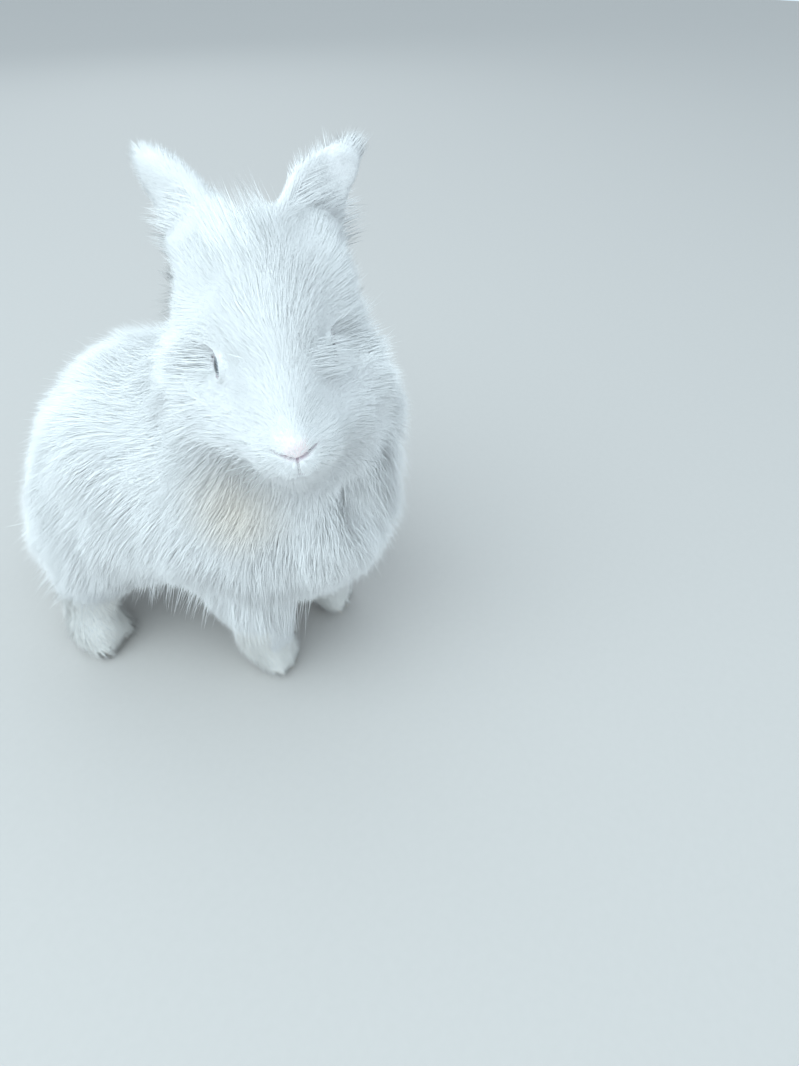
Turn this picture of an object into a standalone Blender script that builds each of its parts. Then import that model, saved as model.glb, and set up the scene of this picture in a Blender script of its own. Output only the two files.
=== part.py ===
"""Life-size still model of a young angora rabbit, sitting on its four feet.

Every solid runs out to the tips of the coat. The animal is modelled whole and
then parted by thin cuts where a person would name its parts. Sizes are in
millimetres while the forms are set out, and metres in the finished objects.
The rabbit faces -Y, its left side is +X, and the floor is z = 0.
"""
import math

import bmesh
import bpy
from mathutils import Matrix, Vector

MM = 0.001                 # metres in a millimetre
GAP = 0.35                 # clearance of every cut between two parts

# Driving dimensions, in millimetres.
TRUNK_WIDTH = 140.0        # across the coat at the ribs
NOSE_TIP = Vector((-47.0, -43.0, 167.5))
HEAD_TURN = math.radians(48.0)     # towards the rabbit's right
HEAD_ROLL = math.radians(4.0)      # crown towards the rabbit's right
EYE_RADIUS = 7.6
EYE_OUT, EYE_BACK, EYE_UP = 17.0, 44.0, 17.6    # eyeball centre from the nose tip
EYE_DISH_RADIUS = 10.5     # the short coat round the eye
EYE_DISH_OUT = 13.6        # middle of the dish from the middle of the eye
EAR_BASE_OUT, EAR_BASE_BACK, EAR_BASE_UP = 17.0, 60.0, 34.0
EAR_WIDTH = {"right": 46.0, "left": 54.0}  # of the blade's straight edges, carried to the root
EAR_TAPER, EAR_ROUND = 0.72, 0.82  # narrowing towards the tip, and where its rounding starts
EAR_ROOT, EAR_ROOT_END = 0.55, 0.3    # drawn in at the root to this, up to this share
EAR_CUP, EAR_CUP_FALL = 0.42, 0.22    # the hollow's depth over the half width, and its fall
EAR_FLARE = {"right": 5.5, "left": 9.0}    # how far an ear lies inside a straight line
EAR_BACKSET = 4.0          # how far the middle of an ear lies behind a straight line
EAR_THICKNESS = 6.0
EAR_TIP = {"right": Vector((2.3, 59.8, 249.0)), "left": Vector((59.6, -8.0, 246.4))}
PAW = {"right": Vector((-22.5, 8.5, 0.0)), "left": Vector((32.0, 7.0, 0.0))}
PAW_TURN = math.radians(10.0)      # towards the rabbit's left
PAW_LENGTH, PAW_WIDTH, PAW_HEIGHT = 34.0, 31.0, 23.0
LEG_RADIUS_LOW, LEG_RADIUS_HIGH = 17.0, 25.0
WRIST_HEIGHT, ELBOW_HEIGHT = 22.0, 56.0
HIND_TOE = {"right": Vector((-56.0, 80.5, 0.0)), "left": Vector((54.0, 82.0, 0.0))}
HIND_HEEL = {"right": Vector((-38.0, 144.0, 0.0)), "left": Vector((37.0, 146.0, 0.0))}
FOOT_WIDTH, FOOT_HEIGHT = 36.0, 31.0
FOOT_TOP = 34.0            # where the hind foot parts from the thigh
INSTEP_RADIUS = 14.5       # of the foot where it rises into the haunch
TAIL_CENTRE = Vector((1.0, 160.0, 62.0))
TAIL_RADIUS = 21.0
NECK_LEAN = math.radians(29.0)     # of the cut between neck and trunk

TRUNK_VOXEL = 5.0          # cells of the meshes that blend the forms
VOXEL = 2.8
WHOLE_TRIANGLES = 3700
REGION_SEGMENTS = 15
SIDES = {"right": -1.0, "left": 1.0}

COAT_COLOUR = (0.86, 0.87, 0.86, 1.0)
FOOT_COLOUR = (0.84, 0.82, 0.74, 1.0)
EAR_COLOUR = (0.85, 0.82, 0.81, 1.0)
EYE_COLOUR = (0.07, 0.09, 0.13, 1.0)

# Rounded masses of the coat: centre and half sizes, in millimetres.
TRUNK_MASSES = {
    "rump": ((-1, 121, 81), (50, 41, 50)),
    "haunches": ((-1, 103, 91), (61, 45, 61)),
    "loin": ((0, 76, 100), (0.5 * TRUNK_WIDTH, 52, 70)),
    "ribs": ((3, 40, 102.5), (66, 50, 68.5)),
    "shoulders": ((5, 8, 105), (58, 46, 62)),
    "breast": ((6, -18, 107), (47, 36, 51)),
    "bib": ((4, -11, 94), (43, 39, 47)),
    "mane": ((12, -4, 140), (52, 50, 46)),
    "nape": ((5, 26, 157.5), (43.5, 41, 38)),
}

# Masses of each haunch, for the left side.
HAUNCH_MASSES = {
    "thigh": ((43, 103, 68), (27.5, 37.5, 38)),
    "shank": ((50, 97, 50), (20, 27, 22)),
}

# Masses of the head: to its left, behind the nose tip, above it, then half sizes.
HEAD_MASSES = {
    "nose": ((0, 9.5, 0), (9.5, 9.5, 9.5)),
    "lips": ((0, 19, -9), (17, 19, 15)),
    "bridge": ((0, 36, 6), (19, 30, 19)),
    "skull": ((0, 58, 12), (29, 38, 33)),
    "forehead": ((0, 62, 25), (30, 32, 28)),
    "crown": ((-2, 68, 40), (28, 26, 28)),
    "chin": ((0, 35, -20), (20, 26, 15)),
    "throat": ((0, 62, -18), (38, 34, 32)),
}
CHEEK_MASSES = {
    "whisker_pad": ((9, 21, -6), (14, 17, 14)),
    "cheek": ((17, 47, -10), (23, 30, 24)),
    "ruff": ((24, 62, -8), (30, 30, 34)),
    "brow": ((14, 58, 22), (13, 18, 14)),
    "ear_tuft": ((22.5, 71, 27), (20.5, 22, 30)),
}


def new_collection(name):
    collection = bpy.data.collections.new(name)
    bpy.context.scene.collection.children.link(collection)
    return collection


def clear_scene():
    for old in list(bpy.data.objects):
        bpy.data.objects.remove(old, do_unlink=True)


def material(name, colour, roughness):
    """A plain Principled BSDF with the part's own colour."""
    made = bpy.data.materials.new(name)
    made.use_nodes = True
    shader = made.node_tree.nodes["Principled BSDF"]
    shader.inputs["Base Color"].default_value = colour
    shader.inputs["Roughness"].default_value = roughness
    shader.inputs["Metallic"].default_value = 0.0
    return made


def head_axes():
    """Forward, left and up of the turned and rolled head."""
    forward = Vector((-math.sin(HEAD_TURN), -math.cos(HEAD_TURN), 0.0))
    level_right = Vector((-math.cos(HEAD_TURN), math.sin(HEAD_TURN), 0.0))
    upright = Vector((0.0, 0.0, 1.0))
    up = upright * math.cos(HEAD_ROLL) + level_right * math.sin(HEAD_ROLL)
    right = level_right * math.cos(HEAD_ROLL) - upright * math.sin(HEAD_ROLL)
    return forward, -right, up


def head_point(left, back, up):
    """A place on the head, from the nose tip."""
    axes = head_axes()
    return NOSE_TIP + axes[1] * left - axes[0] * back + axes[2] * up


def head_rotation():
    """Turns X, Y, Z into the head's left, backward and up directions."""
    forward, left, up = head_axes()
    return Matrix((left, -forward, up)).transposed()


def add_mass(mesh, centre, half_sizes, rotation=None, segments=24):
    """Adds one ellipsoid to a bmesh, in metres."""
    turn = rotation.to_4x4() if rotation else Matrix.Identity(4)
    scale = Matrix.Diagonal((*[size * MM for size in half_sizes], 1.0))
    place = Matrix.Translation(Vector(centre) * MM) @ turn @ scale
    bmesh.ops.create_uvsphere(
        mesh, u_segments=segments, v_segments=segments * 2 // 3, radius=1.0, matrix=place)


def add_limb(mesh, start, end, start_radius, end_radius, flatten=1.0, steps=7):
    """Adds a row of overlapping balls that taper from start to end."""
    for step in range(steps):
        share = step / (steps - 1)
        radius = start_radius + (end_radius - start_radius) * share
        centre = Vector(start).lerp(Vector(end), share)
        add_mass(mesh, centre, (radius, radius, radius * flatten), segments=16)


def add_toes(mesh, front, direction, spread, radius, reach):
    """Adds four toes side by side across the front of a foot."""
    across = Vector((-direction.y, direction.x, 0.0))
    turn = Matrix.Rotation(math.atan2(direction.y, direction.x), 3, "Z")
    for toe in (-1.5, -0.5, 0.5, 1.5):
        setback = reach * 0.16 * (abs(toe) - 0.5)
        centre = front + across * (toe * spread) - direction * (0.6 * reach + setback)
        centre.z = radius * 0.95
        add_mass(mesh, centre, (reach * 0.6, radius, radius * 1.05), turn, segments=16)


def build_fore_leg(mesh, side):
    """One straight fore leg, its feathered elbow and its paw."""
    paw = PAW[side]
    shoulder = Vector((SIDES[side] * 23.0 + 2.0, 10.0, 80.0))
    wrist = paw + Vector((0.0, 2.0, WRIST_HEIGHT - 2.0))
    add_limb(mesh, shoulder, wrist, LEG_RADIUS_HIGH, LEG_RADIUS_LOW)
    elbow = paw + Vector((0.0, 11.0, ELBOW_HEIGHT))
    add_mass(mesh, elbow, (LEG_RADIUS_LOW + 5.5, LEG_RADIUS_LOW + 4.5, 26.0))
    ahead = Vector((math.sin(PAW_TURN), -math.cos(PAW_TURN), 0.0))
    turn = Matrix.Rotation(math.atan2(ahead.y, ahead.x), 3, "Z")
    middle = paw + ahead * 3.0 + Vector((0.0, 0.0, 0.42 * PAW_HEIGHT))
    half_sizes = (0.45 * PAW_LENGTH, 0.47 * PAW_WIDTH, 0.52 * PAW_HEIGHT)
    add_mass(mesh, middle, half_sizes, turn)
    front = paw + ahead * (0.54 * PAW_LENGTH)
    add_toes(mesh, front, ahead, 0.2 * PAW_WIDTH, 0.17 * PAW_WIDTH + 1.5, 13.0)


def build_haunch(mesh, side):
    """The round haunch and the folded shank in front of it."""
    for (out, back, up), half_sizes in HAUNCH_MASSES.values():
        add_mass(mesh, (SIDES[side] * out, back, up), half_sizes)


def build_hind_foot(mesh, side):
    """The long hind foot, flat on the floor."""
    toe, heel = HIND_TOE[side], HIND_HEEL[side]
    ahead = (toe - heel).normalized()
    turn = Matrix.Rotation(math.atan2(ahead.y, ahead.x), 3, "Z")
    length = (toe - heel).length
    ball = toe + Vector((0.0, 0.30 * length, 0.44 * FOOT_HEIGHT))
    add_mass(mesh, ball, (0.5 * FOOT_WIDTH, 0.29 * length, 0.54 * FOOT_HEIGHT))
    sole = toe.lerp(heel, 0.60) + Vector((0.0, 0.0, 0.38 * FOOT_HEIGHT))
    add_mass(mesh, sole, (0.40 * length, 0.40 * FOOT_WIDTH, 0.44 * FOOT_HEIGHT), turn)
    straight = Vector((0.0, -1.0, 0.0))
    add_toes(mesh, toe, straight, 0.2 * FOOT_WIDTH, 0.16 * FOOT_WIDTH + 1.5, 16.0)
    low = toe + Vector((0.0, 16.0, 0.45 * FOOT_HEIGHT))
    high = toe + Vector((SIDES[side] * -7.0, 27.0, 50.0))
    add_limb(mesh, low, high, INSTEP_RADIUS, INSTEP_RADIUS)


def evaluated_copy(source, name):
    """A new object holding the source's mesh with its modifiers applied."""
    graph = bpy.context.evaluated_depsgraph_get()
    mesh = bpy.data.meshes.new_from_object(source.evaluated_get(graph))
    mesh.name = name
    return bpy.data.objects.new(name, mesh)


def set_modifier(target, kind, **values):
    modifier = target.modifiers.new(kind.lower(), kind)
    for key, value in values.items():
        setattr(modifier, key, value)
    return modifier


def object_from(collection, mesh, name):
    """Moves a bmesh into a new object of the collection."""
    data = bpy.data.meshes.new(name)
    mesh.to_mesh(data)
    mesh.free()
    made = bpy.data.objects.new(name, data)
    collection.objects.link(made)
    return made


def blend(cutters, forms, voxel, rounds):
    """Joins overlapping forms into one smooth closed surface."""
    set_modifier(forms, "REMESH", mode="VOXEL", voxel_size=voxel * MM)
    set_modifier(forms, "SMOOTH", factor=0.5, iterations=rounds)
    blended = evaluated_copy(forms, "blended")
    cutters.objects.link(blended)
    bpy.data.objects.remove(forms, do_unlink=True)
    return blended


def build_trunk_forms(cutters):
    """The trunk, haunches and tail, blended smoothly by themselves."""
    mesh = bmesh.new()
    for centre, half_sizes in TRUNK_MASSES.values():
        add_mass(mesh, centre, half_sizes)
    for side in SIDES:
        build_haunch(mesh, side)
    add_mass(mesh, TAIL_CENTRE, (TAIL_RADIUS, TAIL_RADIUS, TAIL_RADIUS * 1.2))
    return blend(cutters, object_from(cutters, mesh, "trunk_forms"), TRUNK_VOXEL, 12)


def build_head_forms(cutters):
    """The head without ears, blended smoothly by itself."""
    mesh = bmesh.new()
    turn = head_rotation()
    for centre, half_sizes in HEAD_MASSES.values():
        add_mass(mesh, head_point(*centre), half_sizes, turn)
    for (out, back, up), half_sizes in CHEEK_MASSES.values():
        for sign in SIDES.values():
            add_mass(mesh, head_point(sign * out, back, up), half_sizes, turn)
    return blend(cutters, object_from(cutters, mesh, "head_forms"), VOXEL, 9)


def build_whole(cutters):
    """The blended animal without ears, its soles cut flat on the floor."""
    trunk = build_trunk_forms(cutters)
    head = build_head_forms(cutters)
    mesh = bmesh.new()
    for forms in (trunk, head):
        mesh.from_mesh(forms.data)
        bpy.data.objects.remove(forms, do_unlink=True)
    for side in SIDES:
        build_fore_leg(mesh, side)
        build_hind_foot(mesh, side)
    blended = blend(cutters, object_from(cutters, mesh, "forms"), VOXEL, 3)
    faces = 2 * len(blended.data.polygons)
    set_modifier(blended, "TRIANGULATE")
    set_modifier(blended, "DECIMATE", ratio=WHOLE_TRIANGLES / faces)
    whole = evaluated_copy(blended, "whole")
    cutters.objects.link(whole)
    bpy.data.objects.remove(blended, do_unlink=True)
    floor = box_region(cutters, (0, 60, -30), (400, 500, 60))
    return cut(cutters, whole, floor, "DIFFERENCE")


def hide_as_cutter(target):
    target.hide_render = True
    target.display_type = "WIRE"


def region_from(cutters, mesh):
    region = object_from(cutters, mesh, "region")
    hide_as_cutter(region)
    return region


def box_region(cutters, centre, size, turn=None, grow=0.0):
    """A box; grow moves each of its faces outward."""
    mesh = bmesh.new()
    scale = Matrix.Diagonal((*[(side + 2.0 * grow) * MM for side in size], 1.0))
    rotation = turn.to_4x4() if turn else Matrix.Identity(4)
    place = Matrix.Translation(Vector(centre) * MM) @ rotation @ scale
    bmesh.ops.create_cube(mesh, size=1.0, matrix=place)
    return region_from(cutters, mesh)


def post_region(cutters, foot, radius, height, grow=0.0):
    """An upright post that stands in the floor and ends at the given height."""
    mesh = bmesh.new()
    sunk = 10.0
    depth = height + sunk + grow
    place = Matrix.Translation((foot + Vector((0.0, 0.0, 0.5 * depth - sunk))) * MM)
    bmesh.ops.create_cone(
        mesh, cap_ends=True, segments=REGION_SEGMENTS, radius1=(radius + grow) * MM,
        radius2=(radius + grow) * MM, depth=depth * MM, matrix=place)
    return region_from(cutters, mesh)


def ball_region(cutters, centre, half_sizes, rotation=None, grow=0.0):
    mesh = bmesh.new()
    grown = [size + grow for size in half_sizes]
    add_mass(mesh, centre, grown, rotation, segments=REGION_SEGMENTS)
    return region_from(cutters, mesh)


def cut(cutters, target, tool, operation):
    """Applies one exact boolean and removes the tool."""
    set_modifier(target, "BOOLEAN", object=tool, operation=operation, solver="EXACT")
    result = evaluated_copy(target, target.name)
    cutters.objects.link(result)
    bpy.data.objects.remove(target, do_unlink=True)
    bpy.data.objects.remove(tool, do_unlink=True)
    return result


def keep_main_body(target):
    """Drops crumbs that a cut left loose, and closes hairline edges."""
    mesh = bmesh.new()
    mesh.from_mesh(target.data)
    bmesh.ops.remove_doubles(mesh, verts=mesh.verts, dist=0.00002)
    bmesh.ops.dissolve_degenerate(mesh, edges=mesh.edges, dist=0.00002)
    bmesh.ops.triangulate(mesh, faces=mesh.faces)
    islands = []
    unseen = set(mesh.verts)
    while unseen:
        island = {unseen.pop()}
        front = list(island)
        while front:
            vertex = front.pop()
            for edge in vertex.link_edges:
                other = edge.other_vert(vertex)
                if other in unseen:
                    unseen.remove(other)
                    island.add(other)
                    front.append(other)
        islands.append(island)
    islands.sort(key=len, reverse=True)
    crumbs = [vertex for island in islands[1:] for vertex in island]
    bmesh.ops.delete(mesh, geom=crumbs, context="VERTS")
    mesh.to_mesh(target.data)
    mesh.free()


def part_off(cutters, whole, name, make_region):
    """Splits the named part from the whole, leaving a thin gap between them."""
    piece = whole.copy()
    piece.data = whole.data.copy()
    cutters.objects.link(piece)
    piece = cut(cutters, piece, make_region(0.0), "INTERSECT")
    piece.name = name
    keep_main_body(piece)
    whole = cut(cutters, whole, make_region(GAP), "DIFFERENCE")
    keep_main_body(whole)
    return piece, whole


def part_regions(cutters):
    """What to cut off, in order: each part's name and the region that holds it."""
    turn = head_rotation()
    lean = Matrix.Rotation(NECK_LEAN, 3, "X")

    def head(grow):
        return ball_region(cutters, head_point(0, 58, 16), (58, 66, 64), turn, grow)

    def neck(grow):
        return box_region(cutters, (5, -29, 194), (260, 200, 120), lean, grow)

    def tail(grow):
        centre = TAIL_CENTRE + Vector((0.0, 8.0, 0.0))
        return ball_region(cutters, centre, (27, 20, 30), None, grow)

    regions = [("head", head), ("neck", neck), ("tail", tail)]
    for side, sign in SIDES.items():
        paw = PAW[side]
        toe, heel = HIND_TOE[side], HIND_HEEL[side]
        foot_angle = math.atan2((heel - toe).y, (heel - toe).x)
        foot_turn = Matrix.Rotation(foot_angle, 3, "Z")

        def fore_paw(grow, paw=paw):
            centre = paw + Vector((0.0, -2.0, 0.0))
            return box_region(cutters, centre, (46, 56, 2.0 * WRIST_HEIGHT), None, grow)

        def fore_leg(grow, paw=paw):
            foot = paw + Vector((0.0, 5.0, 0.0))
            return post_region(cutters, foot, LEG_RADIUS_HIGH + 0.5, ELBOW_HEIGHT, grow)

        def hind_foot(grow, toe=toe, heel=heel, foot_turn=foot_turn):
            centre = toe.lerp(heel, 0.5)
            return box_region(cutters, centre, (100, 46, 2.0 * FOOT_TOP), foot_turn, grow)

        def thigh(grow, sign=sign):
            centre = (sign * 54.0, 103.0, 60.0)
            return ball_region(cutters, centre, (30, 46, 49), None, grow)

        regions += [
            (f"fore_paw_{side}", fore_paw), (f"fore_leg_{side}", fore_leg),
            (f"hind_foot_{side}", hind_foot), (f"thigh_{side}", thigh)]
    return regions


def eye_centre(sign):
    return head_point(sign * EYE_OUT, EYE_BACK, EYE_UP)


def build_eye(cutters, side):
    mesh = bmesh.new()
    radius = (EYE_RADIUS,) * 3
    place = eye_centre(SIDES[side])
    add_mass(mesh, place, radius, head_rotation(), segments=REGION_SEGMENTS)
    eye = region_from(cutters, mesh)
    eye.name = f"eye_{side}"
    return eye


def cut_eye_socket(cutters, whole, side):
    """Seats the eyeball in the head and opens the coat in front of it."""
    sign = SIDES[side]
    centre = eye_centre(sign)
    socket = ball_region(cutters, centre, (EYE_RADIUS,) * 3, head_rotation(), GAP)
    whole = cut(cutters, whole, socket, "DIFFERENCE")
    outward = head_axes()[1] * sign + head_axes()[0] * 0.5
    dish = centre + outward.normalized() * EYE_DISH_OUT
    opening = ball_region(cutters, dish, (EYE_DISH_RADIUS,) * 3, head_rotation())
    return cut(cutters, whole, opening, "DIFFERENCE")


def ear_half_width(side, share):
    """Half the ear's width, from its root at 0 to its tip at 1."""
    half = 0.5 * EAR_WIDTH[side] * (1.0 - EAR_TAPER * share)
    half *= min(1.0, EAR_ROOT + (1.0 - EAR_ROOT) * share / EAR_ROOT_END)
    fall = max(0.0, (share - EAR_ROUND) / (1.0 - EAR_ROUND))
    return half * math.sqrt(max(0.0, 1.0 - fall ** 2.2))


def build_ear(cutters, side, whole):
    """A cupped blade that opens forward and outward, seated on the head."""
    sign = SIDES[side]
    forward, left, _ = head_axes()
    root = head_point(sign * EAR_BASE_OUT, EAR_BASE_BACK, EAR_BASE_UP)
    tip = EAR_TIP[side]
    along = (tip - root).normalized()
    facing = forward * 0.80 + left * (sign * 0.45)
    facing = (facing - along * facing.dot(along)).normalized()
    across = along.cross(facing)
    length = (tip - root).length
    inward = left * -sign
    inward = (inward - along * inward.dot(along)).normalized()
    rows, columns = 12, 6
    mesh = bmesh.new()
    grid = []
    for row in range(rows + 1):
        share = 1.0 - (1.0 - row / rows) ** 1.25
        half_width = max(ear_half_width(side, share), 1.2)
        cup = EAR_CUP - EAR_CUP_FALL * share
        backset = EAR_BACKSET * math.sin(math.pi * share)
        flare = EAR_FLARE[side] * math.sin(math.pi * share)
        line = []
        for column in range(columns + 1):
            angle = (column / columns - 0.5) * math.pi * 0.92
            sideways = half_width * math.sin(angle) / math.sin(0.46 * math.pi)
            depth = half_width * cup * (1.0 - math.cos(angle))
            place = root + along * (length * share) + across * sideways
            place += facing * (depth - backset) + inward * flare
            line.append(mesh.verts.new(place * MM))
        grid.append(line)
    for low, high in zip(grid, grid[1:]):
        for first in range(columns):
            mesh.faces.new((low[first], low[first + 1], high[first + 1], high[first]))
    bmesh.ops.recalc_face_normals(mesh, faces=mesh.faces)
    blade = region_from(cutters, mesh)
    set_modifier(blade, "SOLIDIFY", thickness=EAR_THICKNESS * MM, offset=0.0)
    ear = evaluated_copy(blade, f"ear_{side}")
    cutters.objects.link(ear)
    bpy.data.objects.remove(blade, do_unlink=True)
    clearance = whole.copy()
    clearance.data = whole.data.copy()
    cutters.objects.link(clearance)
    set_modifier(clearance, "DISPLACE", strength=GAP * MM, mid_level=0.0)
    grown = evaluated_copy(clearance, "grown")
    cutters.objects.link(grown)
    bpy.data.objects.remove(clearance, do_unlink=True)
    ear = cut(cutters, ear, grown, "DIFFERENCE")
    ear.name = f"ear_{side}"
    keep_main_body(ear)
    return ear


def finish(parts, rabbit):
    """Stands the origin under the middle of the whole box and sets the parts out."""
    corners = [vertex.co for part in parts for vertex in part.data.vertices]
    low = [min(corner[axis] for corner in corners) for axis in range(3)]
    high = [max(corner[axis] for corner in corners) for axis in range(3)]
    shift = Vector(((low[0] + high[0]) * -0.5, (low[1] + high[1]) * -0.5, -low[2]))
    foot_fur = material("foot_fur", FOOT_COLOUR, 0.9)
    finishes = {
        "eye": material("eye", EYE_COLOUR, 0.08),
        "ear": material("ear_fur", EAR_COLOUR, 0.85),
        "hind_foot": foot_fur,
        "fore_paw": foot_fur,
        "": material("coat", COAT_COLOUR, 0.95),
    }
    base = bpy.data.objects.new("rabbit_base", None)
    rabbit.objects.link(base)
    for part in parts:
        middle = sum((Vector(corner) for corner in part.bound_box), Vector()) / 8.0
        part.data.transform(Matrix.Translation(-middle))
        part.location = middle + shift
        for collection in list(part.users_collection):
            collection.objects.unlink(part)
        rabbit.objects.link(part)
        part.hide_render = False
        part.display_type = "TEXTURED"
        part.parent = base
        part.data.name = part.name
        part.data.materials.clear()
        kind = next(key for key in finishes if part.name.startswith(key))
        part.data.materials.append(finishes[kind])
        part.data.shade_smooth()
        part.data.set_sharp_from_angle(angle=math.radians(50.0))


def main():
    clear_scene()
    rabbit = new_collection("angora_rabbit")
    cutters = new_collection("cutters")
    whole = build_whole(cutters)
    ears = [build_ear(cutters, side, whole) for side in SIDES]
    eyes = [build_eye(cutters, side) for side in SIDES]
    for side in SIDES:
        whole = cut_eye_socket(cutters, whole, side)
    parts = []
    for name, make_region in part_regions(cutters):
        piece, whole = part_off(cutters, whole, name, make_region)
        parts.append(piece)
    whole.name = "trunk"
    finish([whole] + parts + ears + eyes, rabbit)


main()
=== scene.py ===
import math

import bmesh
import bpy
import numpy as np
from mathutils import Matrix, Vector
from mathutils.bvhtree import BVHTree
from mathutils.kdtree import KDTree


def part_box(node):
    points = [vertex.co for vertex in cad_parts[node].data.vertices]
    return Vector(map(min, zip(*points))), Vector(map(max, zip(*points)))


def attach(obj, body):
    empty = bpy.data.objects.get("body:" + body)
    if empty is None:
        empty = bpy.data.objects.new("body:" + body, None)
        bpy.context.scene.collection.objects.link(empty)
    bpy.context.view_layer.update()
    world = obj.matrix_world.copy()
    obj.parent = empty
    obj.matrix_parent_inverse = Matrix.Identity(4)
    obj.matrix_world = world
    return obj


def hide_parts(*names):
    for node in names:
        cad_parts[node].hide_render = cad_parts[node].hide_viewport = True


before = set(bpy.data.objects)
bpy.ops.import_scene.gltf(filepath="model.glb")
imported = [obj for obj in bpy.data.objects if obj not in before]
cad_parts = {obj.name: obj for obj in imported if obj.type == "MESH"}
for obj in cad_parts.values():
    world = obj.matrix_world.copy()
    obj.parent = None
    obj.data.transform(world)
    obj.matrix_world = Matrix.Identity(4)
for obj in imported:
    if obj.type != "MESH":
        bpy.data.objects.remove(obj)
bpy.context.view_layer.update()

mm = 0.001                                # metres in a millimetre
sides = {"right": -1.0, "left": 1.0}
chance = np.random.default_rng(7)         # every random draw comes from here, in order


# Camera, floor and light

cameraSettings = {
    "place": (-0.2426, -0.2592, 0.336),
    "downward": 40.0,                     # degrees below level
    "heading": -61.0,                     # degrees round from +Y
    "lens": 27.0,
}
lightSettings = {
    "key": {"place": (-0.95, 0.10, 1.35), "size": 2.0, "power": 22.0, "tint": (0.83, 0.965, 1.0)},
    "fill": {"place": (-0.9, -1.2, 0.9), "size": 1.8, "power": 5.5, "tint": (0.85, 0.965, 1.0)},
    "back": {"place": (0.9, 0.9, 1.0), "size": 1.6, "power": 3.5, "tint": (0.88, 0.97, 1.0)},
    "sky": (0.77, 0.91, 1.0),
    "skyStrength": 0.96,
    "aim": (0.0, -0.02, 0.11),            # place in the body that the lamps look at
}
floorSettings = {"size": 6.0, "colour": (0.50, 0.48, 0.465), "grain": 260.0}


def setCamera(settings):
    camera = bpy.data.cameras.new("camera")
    camera.lens = settings["lens"]
    camera.clip_start = 0.01
    holder = bpy.data.objects.new("camera", camera)
    holder.location = settings["place"]
    turn = (90.0 - settings["downward"], 0.0, settings["heading"])
    holder.rotation_euler = [math.radians(angle) for angle in turn]
    bpy.context.scene.collection.objects.link(holder)
    bpy.context.scene.camera = holder


def setLights(settings):
    middle = Vector(settings["aim"])
    for name in ("key", "fill", "back"):
        values = settings[name]
        lamp = bpy.data.lights.new(name, "AREA")
        lamp.shape = "DISK"
        lamp.size = values["size"]
        lamp.energy = values["power"]
        lamp.color = values["tint"]
        holder = bpy.data.objects.new(name, lamp)
        holder.location = values["place"]
        aim = middle - holder.location
        holder.rotation_euler = aim.to_track_quat("-Z", "Y").to_euler()
        bpy.context.scene.collection.objects.link(holder)
    world = bpy.data.worlds.new("studio")
    world.use_nodes = True
    sky = world.node_tree.nodes["Background"]
    sky.inputs["Color"].default_value = (*settings["sky"], 1.0)
    sky.inputs["Strength"].default_value = settings["skyStrength"]
    bpy.context.scene.world = world
    bpy.context.scene.view_settings.view_transform = "Standard"


def buildFloor(settings):
    half = settings["size"] / 2
    data = bpy.data.meshes.new("floor")
    corners = [(-half, -half, 0.0), (half, -half, 0.0), (half, half, 0.0), (-half, half, 0.0)]
    data.from_pydata(corners, [], [(0, 1, 2, 3)])
    floor = bpy.data.objects.new("floor", data)
    bpy.context.scene.collection.objects.link(floor)
    floor.data.materials.append(floorFinish(settings))


# Node helpers, and the effects that several materials share

def newNode(tree, kind, **values):
    node = tree.nodes.new(kind)
    for key, value in values.items():
        setattr(node, key, value)
    return node


def newMaterial(name):
    made = bpy.data.materials.new(name)
    made.use_nodes = True
    return made, made.node_tree, made.node_tree.nodes["Principled BSDF"]


def newGroup(name, inputs, outputs):
    tree = bpy.data.node_groups.new(name, "ShaderNodeTree")
    for label, kind, value in inputs:
        socket = tree.interface.new_socket(label, in_out="INPUT", socket_type=kind)
        socket.default_value = value
    for label, kind in outputs:
        tree.interface.new_socket(label, in_out="OUTPUT", socket_type=kind)
    return tree, tree.nodes.new("NodeGroupInput"), tree.nodes.new("NodeGroupOutput")


def placeGroup(tree, group, **values):
    node = tree.nodes.new("ShaderNodeGroup")
    node.node_tree = group
    for label, value in values.items():
        node.inputs[label.replace("_", " ")].default_value = value
    return node


def blotchGroup():
    # slow drifts of tone, as in a washed and slept-on coat
    tree, start, end = newGroup(
        "blotches",
        [("Scale", "NodeSocketFloat", 40.0), ("Low", "NodeSocketFloat", 0.35),
         ("High", "NodeSocketFloat", 0.65)],
        [("Mask", "NodeSocketFloat")])
    place = newNode(tree, "ShaderNodeTexCoord")
    noise = newNode(tree, "ShaderNodeTexNoise")
    noise.inputs["Detail"].default_value = 3.0
    spread = newNode(tree, "ShaderNodeMapRange")
    tree.links.new(place.outputs["Object"], noise.inputs["Vector"])
    tree.links.new(start.outputs["Scale"], noise.inputs["Scale"])
    tree.links.new(noise.outputs["Fac"], spread.inputs["Value"])
    tree.links.new(start.outputs["Low"], spread.inputs["From Min"])
    tree.links.new(start.outputs["High"], spread.inputs["From Max"])
    tree.links.new(spread.outputs["Result"], end.inputs["Mask"])
    return tree


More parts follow.
